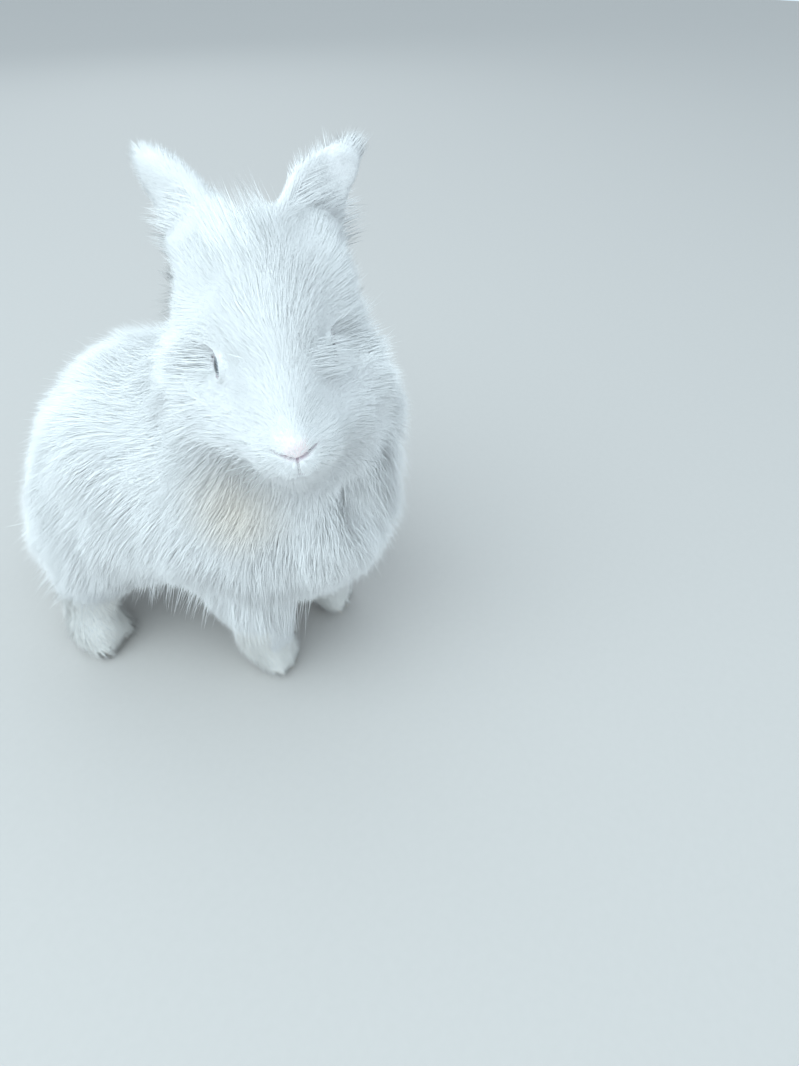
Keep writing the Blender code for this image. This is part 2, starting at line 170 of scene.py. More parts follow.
def spotGroup():
    # a soft round patch at one place on the animal
    tree, start, end = newGroup(
        "spot",
        [("Centre", "NodeSocketVector", (0.0, 0.0, 0.0)), ("Radius", "NodeSocketFloat", 0.03)],
        [("Mask", "NodeSocketFloat")])
    place = newNode(tree, "ShaderNodeTexCoord")
    away = newNode(tree, "ShaderNodeVectorMath", operation="DISTANCE")
    spread = newNode(tree, "ShaderNodeMapRange", interpolation_type="SMOOTHSTEP")
    spread.inputs["From Min"].default_value = 0.0
    spread.inputs["To Min"].default_value = 1.0
    spread.inputs["To Max"].default_value = 0.0
    tree.links.new(place.outputs["Object"], away.inputs[0])
    tree.links.new(start.outputs["Centre"], away.inputs[1])
    tree.links.new(away.outputs["Value"], spread.inputs["Value"])
    tree.links.new(start.outputs["Radius"], spread.inputs["From Max"])
    tree.links.new(spread.outputs["Result"], end.inputs["Mask"])
    return tree


def mixColour(tree, amount, first, second):
    # first and second are sockets or plain colours
    node = newNode(tree, "ShaderNodeMix", data_type="RGBA")
    if amount is not None:
        tree.links.new(amount, node.inputs["Factor"])
    for source, target in ((first, node.inputs[6]), (second, node.inputs[7])):
        if isinstance(source, tuple):
            target.default_value = (*source, 1.0)
        else:
            tree.links.new(source, target)
    return node.outputs[2]


def product(tree, first, second):
    node = newNode(tree, "ShaderNodeMath", operation="MULTIPLY")
    for source, target in ((first, node.inputs[0]), (second, node.inputs[1])):
        if isinstance(source, float):
            target.default_value = source
        else:
            tree.links.new(source, target)
    return node.outputs[0]


def readMask(tree, name):
    return newNode(tree, "ShaderNodeAttribute", attribute_name=name).outputs["Fac"]


def floorFinish(settings):
    made, tree, shader = newMaterial("floor")
    place = newNode(tree, "ShaderNodeTexCoord")
    noise = newNode(tree, "ShaderNodeTexNoise")
    noise.inputs["Scale"].default_value = settings["grain"]
    pale = settings["colour"]
    tree.links.new(place.outputs["Object"], noise.inputs["Vector"])
    tone = mixColour(tree, noise.outputs["Fac"], pale, tuple(value * 1.04 for value in pale))
    tree.links.new(tone, shader.inputs["Base Color"])
    shader.inputs["Roughness"].default_value = 0.85
    return made


# The head's own axes, and where its features are

noseSettings = {"ahead": 44.0, "below": 17.6}      # millimetres from the line between the eyes
eyeSettings = {
    "radius": 7.4,
    "forward": 0.12,                      # how far the eye turns forward and up
    "upward": 0.16,
    "segments": (48, 32),
    "bulge": (0.45, 0.35, 0.95),          # height of the cornea, and the turns between which it fades
    "settle": 0.25,                       # how much deeper the eyeball sits
    "irisReach": 1.25,                    # turn from the pupil's middle at which the eye's colours end
}


def boxMiddle(node):
    low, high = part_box(node)
    return np.array((low + high) / 2) / mm


def unit(vectors):
    length = np.linalg.norm(vectors, axis=-1, keepdims=True)
    return vectors / np.maximum(length, 1e-9)


eyeMiddle = {side: boxMiddle(f"eye_{side}") for side in sides}
headLeft = unit(eyeMiddle["left"] - eyeMiddle["right"])
headForward = unit(np.cross(headLeft, (0.0, 0.0, 1.0)))
headUp = np.cross(headForward, headLeft)
headTurn = np.array((headLeft, -headForward, headUp))      # rows: left, back, up
noseTip = (eyeMiddle["left"] + eyeMiddle["right"]) / 2
noseTip = noseTip + headForward * noseSettings["ahead"] - headUp * noseSettings["below"]


def toHead(points):
    return (points - noseTip) @ headTurn.T


def fromHead(points):
    return noseTip + np.asarray(points, float) @ headTurn


def smoothStep(low, high, values):
    share = np.clip((values - low) / (high - low), 0.0, 1.0)
    return share * share * (3.0 - 2.0 * share)


# The skin: one closed surface under the whole coat

skinSettings = {
    "closing": 0.3,                       # grows each node so that the cuts close
    "bridging": 3.5,                      # and the long-coated ones so that hair bridges the creases
    "eyeClosing": 1.5,                    # and the eyes, to fill the hollows behind them
    "voxel": 1.7,
    "eyeSpan": 16.0,                      # reach of the smooth surface laid over each eye's hollow
    "muzzleBox": ((-15.0, -999.0, -20.0), (15.0, 15.0, 8.0)),       # of the head, with finer cells
    "fineReach": 14.0,                    # and round each eye's middle
    "evenRounds": 4,                      # of smoothing, over the whole outline
    "fillRounds": 100,                    # how widely creases of the long coat fill up
    "fillFrom": (6.0, 12.0),              # depths of coat between which they start to
    "lumps": (26.0, 11, 0.6, 2.2),        # soft tufts of the long coat: size, seed, strength and height
    "lumpFrom": (6.0, 14.0),
    "bodyDepth": 0.52,                    # of the guides' depths, where the coat is long
    "bodyFrom": (3.0, 14.0),
    "calmRounds": 40,                     # of smoothing before the outline is drawn in
    "calmDepth": (3.0, 10.0),             # where the coat is so deep
    "shrinkSteps": 12,
    "soles": 0.5,                         # height of the skin under the feet
    "thinnest": 1.1,                      # depth of the coat at the lids and the nose
    "mostLift": 2.5,
    "thickest": 0.31,                     # most of the local thickness that is coat
    "eyeRing": (16.0, 2.0, 7.0),          # reach round an eye, more ahead of it, and how softly it ends
    "eyeShare": 0.5,                      # of the coat's depth that is left at an eye
    "earRing": (9.0, 1.5, 0.45),          # round an ear's root: reach, least depth, and slope past it
    "earCoat": 1.7,
    "earSwell": 1.1,                      # makes up for the blending of the ears' thin edges
    "earFill": 3.6,                       # hair in the hollow of an ear, at its middle
    "earHollow": (0.2, 0.6),              # how far a place has to face ahead to lie in the hollow
    "earThin": 0.6,                       # share of that hair that is missing at the tip
    "earReach": (22.0, 30.0),             # from its middle line
    "earFrom": (-0.25, 0.15),             # share of its length, from root to tip
    "earRoot": (0.02, 0.16, 34.0),        # place and width of the root along it, and reach
    "rootRounds": 40,                     # how softly an ear's root runs into the head
    "pawCoat": 3.2,
    "footCoat": 3.8,
    "toeGroove": 1.5,                     # depth of the lines between toes
    "innerEar": {                         # the pink inside of an ear: how it faces, and its ends
        "facing": (0.25, 0.7), "root": (-0.1, 0.2), "tip": (0.75, 1.0),
    },
}

# Where the coat is so deep and lies so: name, frame, place (left, back, up), depth,
# combed towards, lie (how far tips trail, over the depth), clumping
coatGuides = (
    ("nose", "head", (0, 2, 1), 1.0, (0, 1, 0.7), 1.8, 0.0),
    ("whiskerPad", "head", (9, 9, -4), 2.4, (0.7, 1, -0.25), 1.9, 0.05),
    ("lip", "head", (5, 4, -10), 1.9, (0.5, 0.5, -0.8), 1.6, 0.05),
    ("bridge", "head", (0, 16, 14), 3.2, (0, 1, 0.6), 1.7, 0.05),
    ("bridgeSide", "head", (10, 24, 8), 3.4, (0.4, 1, 0.1), 1.6, 0.05),
    ("brow", "head", (9, 34, 29), 6.5, (0.15, 0.8, 0.6), 1.1, 0.1),
    ("forehead", "head", (0, 38, 40), 9.0, (0, 0.7, 0.7), 0.8, 0.15),
    ("crown", "head", (0, 60, 62), 15.0, (-0.3, 0.35, 0.9), 0.5, 0.35),
    ("crownSide", "head", (18, 66, 48), 13.0, (0.3, 0.5, 0.8), 0.6, 0.25),
    ("eyeFront", "head", (17, 34, 16), 2.2, (0.3, 1, 0.1), 1.4, 0.0),
    ("eyeBelow", "head", (21, 42, 8), 4.0, (0.6, 0.9, -0.2), 1.2, 0.05),
    ("eyeBehind", "head", (25, 53, 18), 7.0, (0.9, 0.3, 0.1), 0.6, 0.1),
    ("cheek", "head", (24, 40, -6), 9.0, (0.6, 0.8, -0.35), 0.9, 0.1),
    ("jowl", "head", (34, 56, -8), 18.0, (0.7, 0.6, -0.5), 0.6, 0.2),
    ("ruff", "head", (46, 68, -2), 22.0, (0.75, 0.4, -0.6), 0.6, 0.25),
    ("temple", "head", (34, 68, 30), 16.0, (0.8, 0.3, 0.3), 0.5, 0.2),
    ("chin", "head", (0, 14, -20), 4.5, (0, 0.6, -0.8), 1.2, 0.1),
    ("jaw", "head", (12, 32, -30), 10.0, (0.3, 0.5, -0.8), 0.9, 0.2),
    ("throat", "head", (0, 50, -44), 18.0, (0, 0.2, -1), 0.7, 0.3),
    ("nape", "head", (0, 92, 30), 18.0, (0, 0.9, -0.3), 0.7, 0.2),
    ("maneFront", "body", (8, -112, 120), 25.0, (0, -0.35, -0.95), 0.7, 0.45),
    ("maneSide", "body", (56, -66, 140), 26.0, (0.7, 0.25, -0.7), 0.65, 0.35),
    ("maneLow", "body", (50, -90, 90), 25.0, (0.5, -0.1, -0.9), 0.7, 0.5),
    ("breast", "body", (5, -112, 80), 22.0, (0, -0.15, -1), 0.75, 0.5),
    ("withers", "body", (4, -30, 188), 22.0, (0, 1, 0.1), 0.7, 0.2),
    ("back", "body", (0, 10, 168), 23.0, (0, 1, 0.05), 0.7, 0.15),
    ("loin", "body", (0, 50, 150), 24.0, (0, 1, -0.3), 0.7, 0.15),
    ("rump", "body", (0, 96, 110), 24.0, (0, 0.7, -0.7), 0.7, 0.25),
    ("rumpSide", "body", (44, 80, 80), 22.0, (0.4, 0.6, -0.7), 0.65, 0.3),
    ("shoulder", "body", (64, -50, 100), 24.0, (0.4, 0.4, -0.8), 0.65, 0.3),
    ("flank", "body", (72, 10, 105), 24.0, (0.35, 0.55, -0.7), 0.65, 0.2),
    ("flankLow", "body", (60, 5, 45), 17.0, (0.2, 0.35, -0.9), 0.75, 0.45),
    ("belly", "body", (0, -10, 32), 11.0, (0, 0.4, -0.9), 0.9, 0.4),
    ("haunch", "body", (74, 44, 70), 19.0, (0.3, 0.5, -0.8), 0.7, 0.3),
    ("haunchLow", "body", (58, 44, 30), 11.0, (0.15, 0.1, -1), 0.9, 0.35),
    ("tail", "body", (0, 116, 66), 16.0, (0, 0.6, 0.8), 0.5, 0.2),
    ("elbow", "body", (44, -52, 60), 15.0, (0.15, 0.1, -1), 0.8, 0.45),
    ("forearm", "body", (32, -60, 36), 7.5, (0.05, 0.05, -1), 1.0, 0.25),
    ("forearmInside", "body", (14, -60, 36), 6.5, (-0.05, 0.05, -1), 1.0, 0.25),
    ("wrist", "body", (28, -66, 20), 4.2, (0, -0.35, -0.9), 1.2, 0.15),
)
guideColumns = {"depth": 0, "lie": 1, "clump": 2, "way": slice(3, 6)}
guideBlur = 7.0                           # millimetres over which neighbouring guides mix
guideFall = -2.5                          # how fast a guide's say falls off, by squared distance


def spreadGuides():
    places, values = [], []
    for _, where, place, depth, towards, lie, clump in coatGuides:
        for sign in (1.0, -1.0) if place[0] else (1.0,):
            at = np.array(place, float) * (sign, 1.0, 1.0)
            way = unit(np.array(towards, float) * (sign, 1.0, 1.0))
            if where == "head":
                at = fromHead(at)
                way = way @ headTurn
            places.append(at)
            values.append((depth, lie, clump, *way))
    return np.array(places), np.array(values)


guidePlaces, guideValues = spreadGuides()


def askGuides(points):
    # each point's coat, mixed from the guides around it
    found = np.empty((len(points), guideValues.shape[1]))
    batch = 20000
    for first in range(0, len(points), batch):
        some = points[first:first + batch]
        gap = ((some[:, None] - guidePlaces) ** 2).sum(2) + guideBlur ** 2
        weight = gap ** guideFall
        found[first:first + batch] = (weight / weight.sum(1, keepdims=True)) @ guideValues
    return found


def linkObject(name, data):
    made = bpy.data.objects.new(name, data)
    bpy.context.scene.collection.objects.link(made)
    return made


def evaluatedMesh(target):
    graph = bpy.context.evaluated_depsgraph_get()
    return bpy.data.meshes.new_from_object(target.evaluated_get(graph))


longCoated = ("trunk", "neck", "head", "thigh")


def grownNode(name, grow):
    part = bmesh.new()
    part.from_mesh(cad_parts[name].data)
    bmesh.ops.remove_doubles(part, verts=part.verts, dist=1e-6)
    bmesh.ops.recalc_face_normals(part, faces=part.faces)
    part.normal_update()
    for vertex in part.verts:
        vertex.co += vertex.normal * grow * mm
    data = bpy.data.meshes.new(name)
    part.to_mesh(data)
    part.free()
    return data


def nodeTree(names):
    # the nodes as they are, to ask which of them lies nearest
    corners, faces, owners = [], [], []
    for name in names:
        data = grownNode(name, 0.0)
        first = len(corners)
        corners += [vertex.co.copy() for vertex in data.vertices]
        faces += [[first + index for index in face.vertices] for face in data.polygons]
        owners += [name] * len(data.polygons)
    return BVHTree.FromPolygons(corners, faces), np.array(owners)


def uniteNodes(names, settings):
    # one solid from all the nodes, a little grown so that the cuts between them vanish
    base, others = None, []
    for name in names:
        grow = settings["bridging"] if name.startswith(longCoated) else settings["closing"]
        grow = settings["eyeClosing"] if name.startswith("eye") else grow
        solid = linkObject("grown_" + name, grownNode(name, grow))
        if base is None:
            base = solid
            continue
        unite = base.modifiers.new(name, "BOOLEAN")
        unite.operation = "UNION"
        unite.solver = "MANIFOLD"
        unite.object = solid
        others.append(solid)
    remesh = base.modifiers.new("remesh", "REMESH")
    remesh.mode = "VOXEL"
    remesh.voxel_size = settings["voxel"] * mm
    data = evaluatedMesh(base)
    for solid in [base, *others]:
        bpy.data.objects.remove(solid)
    return data


def keepLargest(mesh):
    # drops the inner crumbs of a remeshed surface
    unseen = set(mesh.verts)
    islands = []
    while unseen:
        front = [unseen.pop()]
        island = list(front)
        while front:
            for edge in front.pop().link_edges:
                for other in edge.verts:
                    if other in unseen:
                        unseen.remove(other)
                        island.append(other)
                        front.append(other)
        islands.append(island)
    islands.sort(key=len, reverse=True)
    crumbs = [vertex for island in islands[1:] for vertex in island]
    bmesh.ops.delete(mesh, geom=crumbs, context="VERTS")


def coverEyes(mesh, settings):
    # carries the face's curve on over the hollow round each eye
    mesh.verts.index_update()
    mesh.verts.ensure_lookup_table()
    points = np.array([vertex.co for vertex in mesh.verts]) / mm
    beside = [[edge.other_vert(vertex).index for edge in vertex.link_edges] for vertex in mesh.verts]
    for side in sides:
        away = np.linalg.norm(points - eyeMiddle[side], axis=1)
        inside = np.flatnonzero(away < settings["eyeSpan"])
        local = set(inside)
        for _ in range(2):
            local |= {other for index in list(local) for other in beside[index]}
        local = sorted(local)
        number = {index: k for k, index in enumerate(local)}
        bend = -np.eye(len(local))
        for index, k in number.items():
            known = [number[other] for other in beside[index] if other in number]
            bend[k, known] = 1.0 / len(known)
        chosen = np.array([number[index] for index in inside])
        rows = (bend @ bend)[chosen]
        fixed = np.setdiff1d(np.arange(len(local)), chosen)
        given = rows[:, fixed] @ points[np.array(local)[fixed]]
        points[inside] = np.linalg.solve(rows[:, chosen], -given)
    for vertex, point in zip(mesh.verts, points):
        vertex.co = Vector(point * mm)


def drawIn(outer, triangles, edges, amount, steps):
    # moves a surface inwards in small smoothed steps
    for _ in range(steps):
        outer = outer - vertexNormals(outer, triangles) * (amount / steps)[:, None]
        outer = relax(outer, edges, 1, 0.3)
    return outer


def refineFace(mesh, inner, outer, settings):
    # finer cells where folds and lids are modelled
    kept = mesh.verts.layers.float_vector.new("outer")
    for vertex, point, beyond in zip(mesh.verts, inner, outer):
        vertex.co = Vector(point * mm)
        vertex[kept] = Vector(beyond)
    head = toHead(outer)
    low, high = settings["muzzleBox"]
    near = ((head > low) & (head < high)).all(1)
    for side in sides:
        near |= np.linalg.norm(outer - eyeMiddle[side], axis=1) < settings["fineReach"]
    mesh.verts.index_update()
    chosen = [edge for edge in mesh.edges if near[edge.verts[0].index] and near[edge.verts[1].index]]
    bmesh.ops.subdivide_edges(mesh, edges=chosen, cuts=3, use_grid_fill=True)
    bmesh.ops.triangulate(mesh, faces=[face for face in mesh.faces if len(face.verts) > 4])
    data = bpy.data.meshes.new("skin")
    outer = np.array([vertex[kept] for vertex in mesh.verts])
    mesh.to_mesh(data)
    data.attributes.remove(data.attributes["outer"])
    return data, outer


def settle(points, triangles, edges, rounds):
    # smooths a surface without sliding its points along it
    normals = vertexNormals(points, triangles)
    shift = relax(points, edges, rounds, 0.5) - points
    return points + normals * (shift * normals).sum(1, keepdims=True)


def meshArrays(data):
    count = len(data.vertices)
    points = np.empty(count * 3)
    data.vertices.foreach_get("co", points)
    data.calc_loop_triangles()
    corners = np.empty(len(data.loop_triangles) * 3, np.int64)
    data.loop_triangles.foreach_get("vertices", corners)
    edges = np.empty(len(data.edges) * 2, np.int64)
    data.edges.foreach_get("vertices", edges)
    return points.reshape(-1, 3) / mm, corners.reshape(-1, 3), edges.reshape(-1, 2)


def surfaceArrays(mesh):
    data = bpy.data.meshes.new("surface")
    mesh.to_mesh(data)
    arrays = meshArrays(data)
    bpy.data.meshes.remove(data)
    return arrays


def relax(values, edges, rounds, share):
    # draws each vertex's value towards the mean of its neighbours'
    count = len(values)
    flat = values.reshape(count, -1)
    degree = np.maximum(np.bincount(edges.ravel(), minlength=count), 1)[:, None]
    for _ in range(rounds):
        total = np.stack([
            np.bincount(edges[:, 0], column[edges[:, 1]], count)
            + np.bincount(edges[:, 1], column[edges[:, 0]], count) for column in flat.T], axis=1)
        flat = flat + share * (total / degree - flat)
    return flat.reshape(values.shape)


def vertexNormals(points, triangles):
    # each vertex's normal, weighted by the area of its triangles
    first, second, third = (points[triangles[:, k]] for k in range(3))
    across = np.cross(second - first, third - first)
    total = np.stack([
        sum(np.bincount(triangles[:, k], column, len(points)) for k in range(3))
        for column in across.T], axis=1)
    return unit(total)


def localThickness(points, normals, triangles):
    # how far the other side lies from each point, looking straight in
    tree = BVHTree.FromPolygons(points.tolist(), triangles.tolist())
    inset = 0.8
    farthest = 200.0
    thickness = np.full(len(points), farthest)
    for index, (point, normal) in enumerate(zip(points, normals)):
        hit = tree.ray_cast(Vector(point - normal * inset), Vector(-normal))
        if hit[0] is not None:
            thickness[index] = hit[3] + inset
    return thickness


def ownerWeights(points, tree, owners, edges):
    # which CAD node each vertex lies on, as soft weights
    names = owners[[tree.find_nearest(Vector(point * mm))[2] for point in points]]
    kinds = {"ear": "ear_", "paw": "fore_paw", "foot": "hind_foot", "leg": "fore_leg"}
    weights = {kind: relax(np.char.startswith(names, start).astype(float), edges, 5, 0.5)
               for kind, start in kinds.items()}
    return names, weights


earSettings = {
    "start": (0.0, 60.0, 16.0),           # place in the head that root and tip are told apart from
    "ends": (8.0, 3.0),                   # stretches whose middles are the root and the tip
    "facing": (0.80, 0.45),               # how far the hollow looks ahead, and outwards
    "slices": (0.05, 0.95, 10),           # shares of the length at which the width is taken
    "slice": 0.08,                        # and how far each one reaches to both sides
}


def earAxes(side):
    # root, tip, facing and the way towards the other ear
    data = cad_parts[f"ear_{side}"].data
    points = np.array([vertex.co for vertex in data.vertices]) / mm
    away = np.linalg.norm(points - fromHead(earSettings["start"]), axis=1)
    low, high = earSettings["ends"]
    tip = points[away > away.max() - high].mean(0)
    root = points[away < away.min() + low].mean(0)
    along = unit(tip - root)
    ahead, outwards = earSettings["facing"]
    facing = headForward * ahead + headLeft * (sides[side] * outwards)
    facing = unit(facing - along * (facing @ along))
    inward = headLeft * -sides[side]
    inward = unit(inward - along * (inward @ along))
    length = np.linalg.norm(tip - root)
    across = np.cross(along, facing)
    shares = (points - root) @ along / length
    steps = np.linspace(*earSettings["slices"])
    slices = [points[np.abs(shares - step) < earSettings["slice"]] @ across for step in steps]
    lows = np.array([places.min() for places in slices])
    halves = np.array([np.ptp(places) for places in slices]) / 2
    return {"root": root, "tip": tip, "along": along, "facing": facing, "inward": inward,
            "length": length, "across": across, "shares": steps, "middles": lows + halves,
            "halves": halves}


ears = {side: earAxes(side) for side in sides}


# The feet: their toes, and the hair above them

toeSpacing = {"fore_paw": 6.2, "hind_foot": 7.2}
toeSettings = {
    "front": 14.0,                        # part of the foot that its middle is taken from
    "back": (-2.6, -1.0),                 # where the grooves run out, in toes behind the front
    "aside": 2.6,                         # and in toes to each side
    "height": 26.0,
    "width": 1.3,
}
pawAhead = {"fore_paw": (0.174, -0.985), "hind_foot": (0.0, -1.0)}   # the way each foot points
instepSettings = {"back": (33.0, 40.0), "aside": (18.0, 22.0), "height": (38.0, 44.0)}


def footAxis(kind, side):
    # middle of the toes' front, and the way the foot points, on the floor
    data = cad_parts[f"{kind}_{side}"].data
    points = np.array([vertex.co for vertex in data.vertices])[:, :2] / mm
    ahead = np.array(pawAhead[kind])
    across = np.array((-ahead[1], ahead[0]))
    onward = points @ ahead
    sideways = points[onward > onward.max() - toeSettings["front"]] @ across
    return across * (sideways.min() + sideways.max()) / 2 + ahead * onward.max(), ahead, across


def cutToes(outer, normals, settings):
    # shallow grooves between the toes, on the front and top of each foot
    width = toeSettings["width"]
    far, close = toeSettings["back"]
    for side in sides:
        for kind, spacing in toeSpacing.items():
            middle, ahead, across = footAxis(kind, side)
            flat = outer[:, :2] - middle
            onward, sideways = flat @ ahead, flat @ across
            mine = smoothStep(far * spacing, close * spacing, onward) * (onward < 3.0)
            mine *= np.abs(sideways) < toeSettings["aside"] * spacing
            mine *= outer[:, 2] < toeSettings["height"]
            groove = sum(np.exp(-((sideways - k * spacing) / width) ** 2) for k in (-1.0, 0.0, 1.0))
            outer = outer - normals * (settings["toeGroove"] * mine * groove)[:, None]
    return outer


def instepMask(points, side):
    # the front of the hind leg above the foot, whose hair is as short as the foot's
    middle, ahead, across = footAxis("hind_foot", side)
    flat = points[:, :2] - middle
    mine = 1.0 - smoothStep(*instepSettings["back"], -(flat @ ahead))
    mine *= 1.0 - smoothStep(*instepSettings["aside"], np.abs(flat @ across))
    return mine * (1.0 - smoothStep(*instepSettings["height"], points[:, 2]))


def swellEars(outer, normals, edges, settings):
    # thickens the thin edges, fills the hollow in front with hair, and blends the root into the head
    for ear in ears.values():
        share = (outer - ear["root"]) @ ear["along"] / ear["length"]
        centre = ear["root"] + (share * ear["length"])[:, None] * ear["along"]
        near = 1.0 - smoothStep(*settings["earReach"], np.linalg.norm(outer - centre, axis=1))
        near *= smoothStep(*settings["earFrom"], share)
        sideways = (outer @ ear["across"] - np.interp(share, ear["shares"], ear["middles"]))
        sideways = sideways / np.interp(share, ear["shares"], ear["halves"])
        hollow = np.maximum(1.0 - sideways ** 2, 0.0)
        hollow = hollow * smoothStep(*settings["earHollow"], normals @ ear["facing"])
        hollow *= near * (1.0 - settings["earThin"] * np.clip(share, 0.0, 1.0))
        outer = outer + normals * (settings["earSwell"] * near)[:, None]
        outer = outer + ear["facing"] * (settings["earFill"] * hollow)[:, None]
        place, width, reach = settings["earRoot"]
        root = np.exp(-((share - place) / width) ** 2) * (np.linalg.norm(outer - centre, axis=1) < reach)
        root = relax(root.astype(float), edges, 4, 0.5)
        outer = outer + (relax(outer, edges, settings["rootRounds"], 0.5) - outer) * root[:, None]
    return outer


# Soft bulges of the coat: place on the head (to the side, back, up), reach and height
puffs = (
    ("behindEye", (27.0, 54.0, 20.0), (12.0, 12.0, 15.0), {"right": 4.0, "left": 4.0}),
    ("nape", (25.0, 84.0, 28.0), (16.0, 15.0, 28.0), {"right": 7.5, "left": 5.5}),
)
# and at each ear: place along it and ahead of it, reach and height
earPuffs = ((0.04, 8.0, (15.0, 12.0, 12.0), 4.5), (0.05, -6.0, (13.0, 12.0, 12.0), 3.0))
puffFall = 2.0                            # how fast a puff sinks away, by its squared reach


def raisePuffs(outer, normals):
    head = toHead(outer)
    everywhere = []
    for _, place, reach, heights in puffs:
        for side, sign in sides.items():
            everywhere.append((np.array(place) * (sign, 1.0, 1.0), reach, heights[side]))
    for ear in ears.values():
        for share, ahead, reach, height in earPuffs:
            place = ear["root"] + ear["along"] * ear["length"] * share + ear["facing"] * ahead
            everywhere.append((toHead(place), reach, height))
    for place, reach, height in everywhere:
        away = ((head - place) / reach) ** 2
        outer = outer + normals * (height * np.exp(-away.sum(1) * puffFall))[:, None]
    return outer


def fillCreases(outer, normals, edges, depth, settings):
    # long hair bridges the narrow folds of the body
    calm = relax(outer, edges, settings["fillRounds"], 0.5)
    lift = np.maximum(((calm - outer) * normals).sum(1), 0.0)
    lift = lift * smoothStep(*settings["fillFrom"], depth)
    return outer + normals * relax(lift, edges, 4, 0.5)[:, None]


def addLumps(outer, normals, depth, settings):
    size, seed, strength, height = settings["lumps"]
    lump = ripple(outer, size, seed).sum(1) * strength * smoothStep(*settings["lumpFrom"], depth)
    return outer + normals * (height * lump)[:, None]


muzzleSettings = {                        # millimetres from the nose tip
    "front": (13.0, 19.0),                # how far back the folds run out
    # each groove's dark is the strength of the painted shade laid along it
    "fold": {"line": (-4.4, 0.20, 0.017), "width": 0.95, "ends": (8.2, 10.6), "depth": 1.2, "dark": 1.0},
    "mouth": {"line": (-13.2, 0.0, -0.012), "width": 0.9, "ends": (8.0, 12.0), "depth": 1.5, "dark": 0.7},
    "cleft": {"width": 0.65, "bottom": (-14.6, -12.6), "top": (-5.4, -4.0), "depth": 0.8, "dark": 0.6},
    "nostril": {"out": 5.8, "width": 2.2, "depth": 1.1},
    "lips": {"place": (4.4, -8.8), "size": (3.2, 3.0), "height": 0.9},
    "pad": {"place": (0.0, -0.4), "size": (5.6, 4.2), "height": 0.5, "back": (5.0, 10.0)},
}


def foldAlong(up, reach, values):
    # a groove along a curve, the same on both sides
    low, slope, bow = values["line"]
    line = low + slope * reach + bow * reach ** 2
    return np.exp(-((up - line) / values["width"]) ** 2) * (1.0 - smoothStep(*values["ends"], reach))


def mound(reach, up, values, power):
    (out, height), (wide, tall) = values["place"], values["size"]
    return np.exp(-((reach - out) / wide) ** power - ((up - height) / tall) ** power)


def shapeMuzzle(points, normals, masks, settings):
    across, back, up = toHead(points).T
    reach = np.abs(across)
    front = 1.0 - smoothStep(*settings["front"], back)
    made = {name: foldAlong(up, reach, settings[name]) for name in ("fold", "mouth")}
    groove = settings["cleft"]
    made["cleft"] = np.exp(-(across / groove["width"]) ** 2) * smoothStep(*groove["bottom"], up)
    made["cleft"] = made["cleft"] * (1.0 - smoothStep(*groove["top"], up))
    hole = settings["nostril"]
    made["nostril"] = np.exp(-((reach - hole["out"]) / hole["width"]) ** 2) * made["fold"]
    pad = mound(reach, up, settings["pad"], 4)
    shift = settings["lips"]["height"] * mound(reach, up, settings["lips"], 2)
    shift = shift + settings["pad"]["height"] * pad
    for name in ("fold", "nostril", "cleft", "mouth"):
        shift = shift - settings[name]["depth"] * made[name]
    masks["pad"] = pad * (1.0 - smoothStep(*settings["pad"]["back"], back))
    # painted shade: the folds, the mouth line and the cleft are darkened where shade would lie in them
    dark = sum(settings[name]["dark"] * made[name] for name in ("fold", "cleft", "mouth"))
    masks["crease"] = np.clip(dark, 0.0, 1.0) * front
    return points + normals * (shift * front)[:, None]


def eyeAxes(side):
    outward = headLeft * sides[side] + headForward * eyeSettings["forward"]
    outward = unit(outward + headUp * eyeSettings["upward"])
    ahead = unit(headForward - outward * (headForward @ outward))
    return outward, ahead, np.cross(ahead, outward) * -sides[side]


lidSettings = {                           # openings count from 0 over the pupil to 1 at the lid's edge
    "ahead": 0.64,                        # of the lids from the eye's middle, over its radius
    "behind": 0.86,
    "height": 0.60,
    "thickness": 1.1,
    "brim": (0.2, 0.09),                  # how steeply the skin may rise past the lid
    "brimReach": 28.0,
    "reach": (5.0, 9.0),                  # beyond the eyeball, where the lids run out
    "sunk": 0.72,                         # depth of the skin under the eyeball, over its radius
    "slope": (0.84, 1.0),                 # openings between which the skin climbs to the lid
    "flare": (1.05, 3.2),
    "grip": (1.10, 1.60),
    "facing": (0.1, 0.45),
    "clear": 0.8,                         # least skin over the eyeball
    "rim": (0.98, 0.07),                  # opening and width of the bare rim
}


def lidShares(way, side):
    # how far each way leans along and across the lids, over their opening
    _, ahead, upward = eyeAxes(side)
    wide = way @ ahead
    wide = wide / np.where(wide > 0.0, lidSettings["ahead"], lidSettings["behind"])
    return wide, (way @ upward) / lidSettings["height"]


def lidOpening(points, side):
    # the opening in which each point lies, and its distance from the eye's middle
    away = points - eyeMiddle[side]
    distance = np.linalg.norm(away, axis=1)
    way = away / np.maximum(distance, 1e-6)[:, None]
    wide, high = lidShares(way, side)
    turned = np.arccos(np.clip(way @ eyeAxes(side)[0], -1.0, 1.0))
    return np.sqrt(wide ** 2 + high ** 2) + 2.0 * np.maximum(turned - 1.0, 0.0) ** 2, distance


def brimHeight(flat, side):
    # how high the skin may stand at each place beside an eye's axis
    lid = eyeSettings["radius"] + lidSettings["thickness"]
    beside = np.linalg.norm(flat, axis=1)
    wide, high = lidShares(flat / np.maximum(beside, 1e-6)[:, None], side)
    edge = 1.0 / np.maximum(np.hypot(wide, high), 1.0)
    past = np.maximum(beside - lid * edge, 0.0)
    first, second = lidSettings["brim"]
    return lid * np.sqrt(1.0 - edge ** 2) + first * past + second * past ** 2


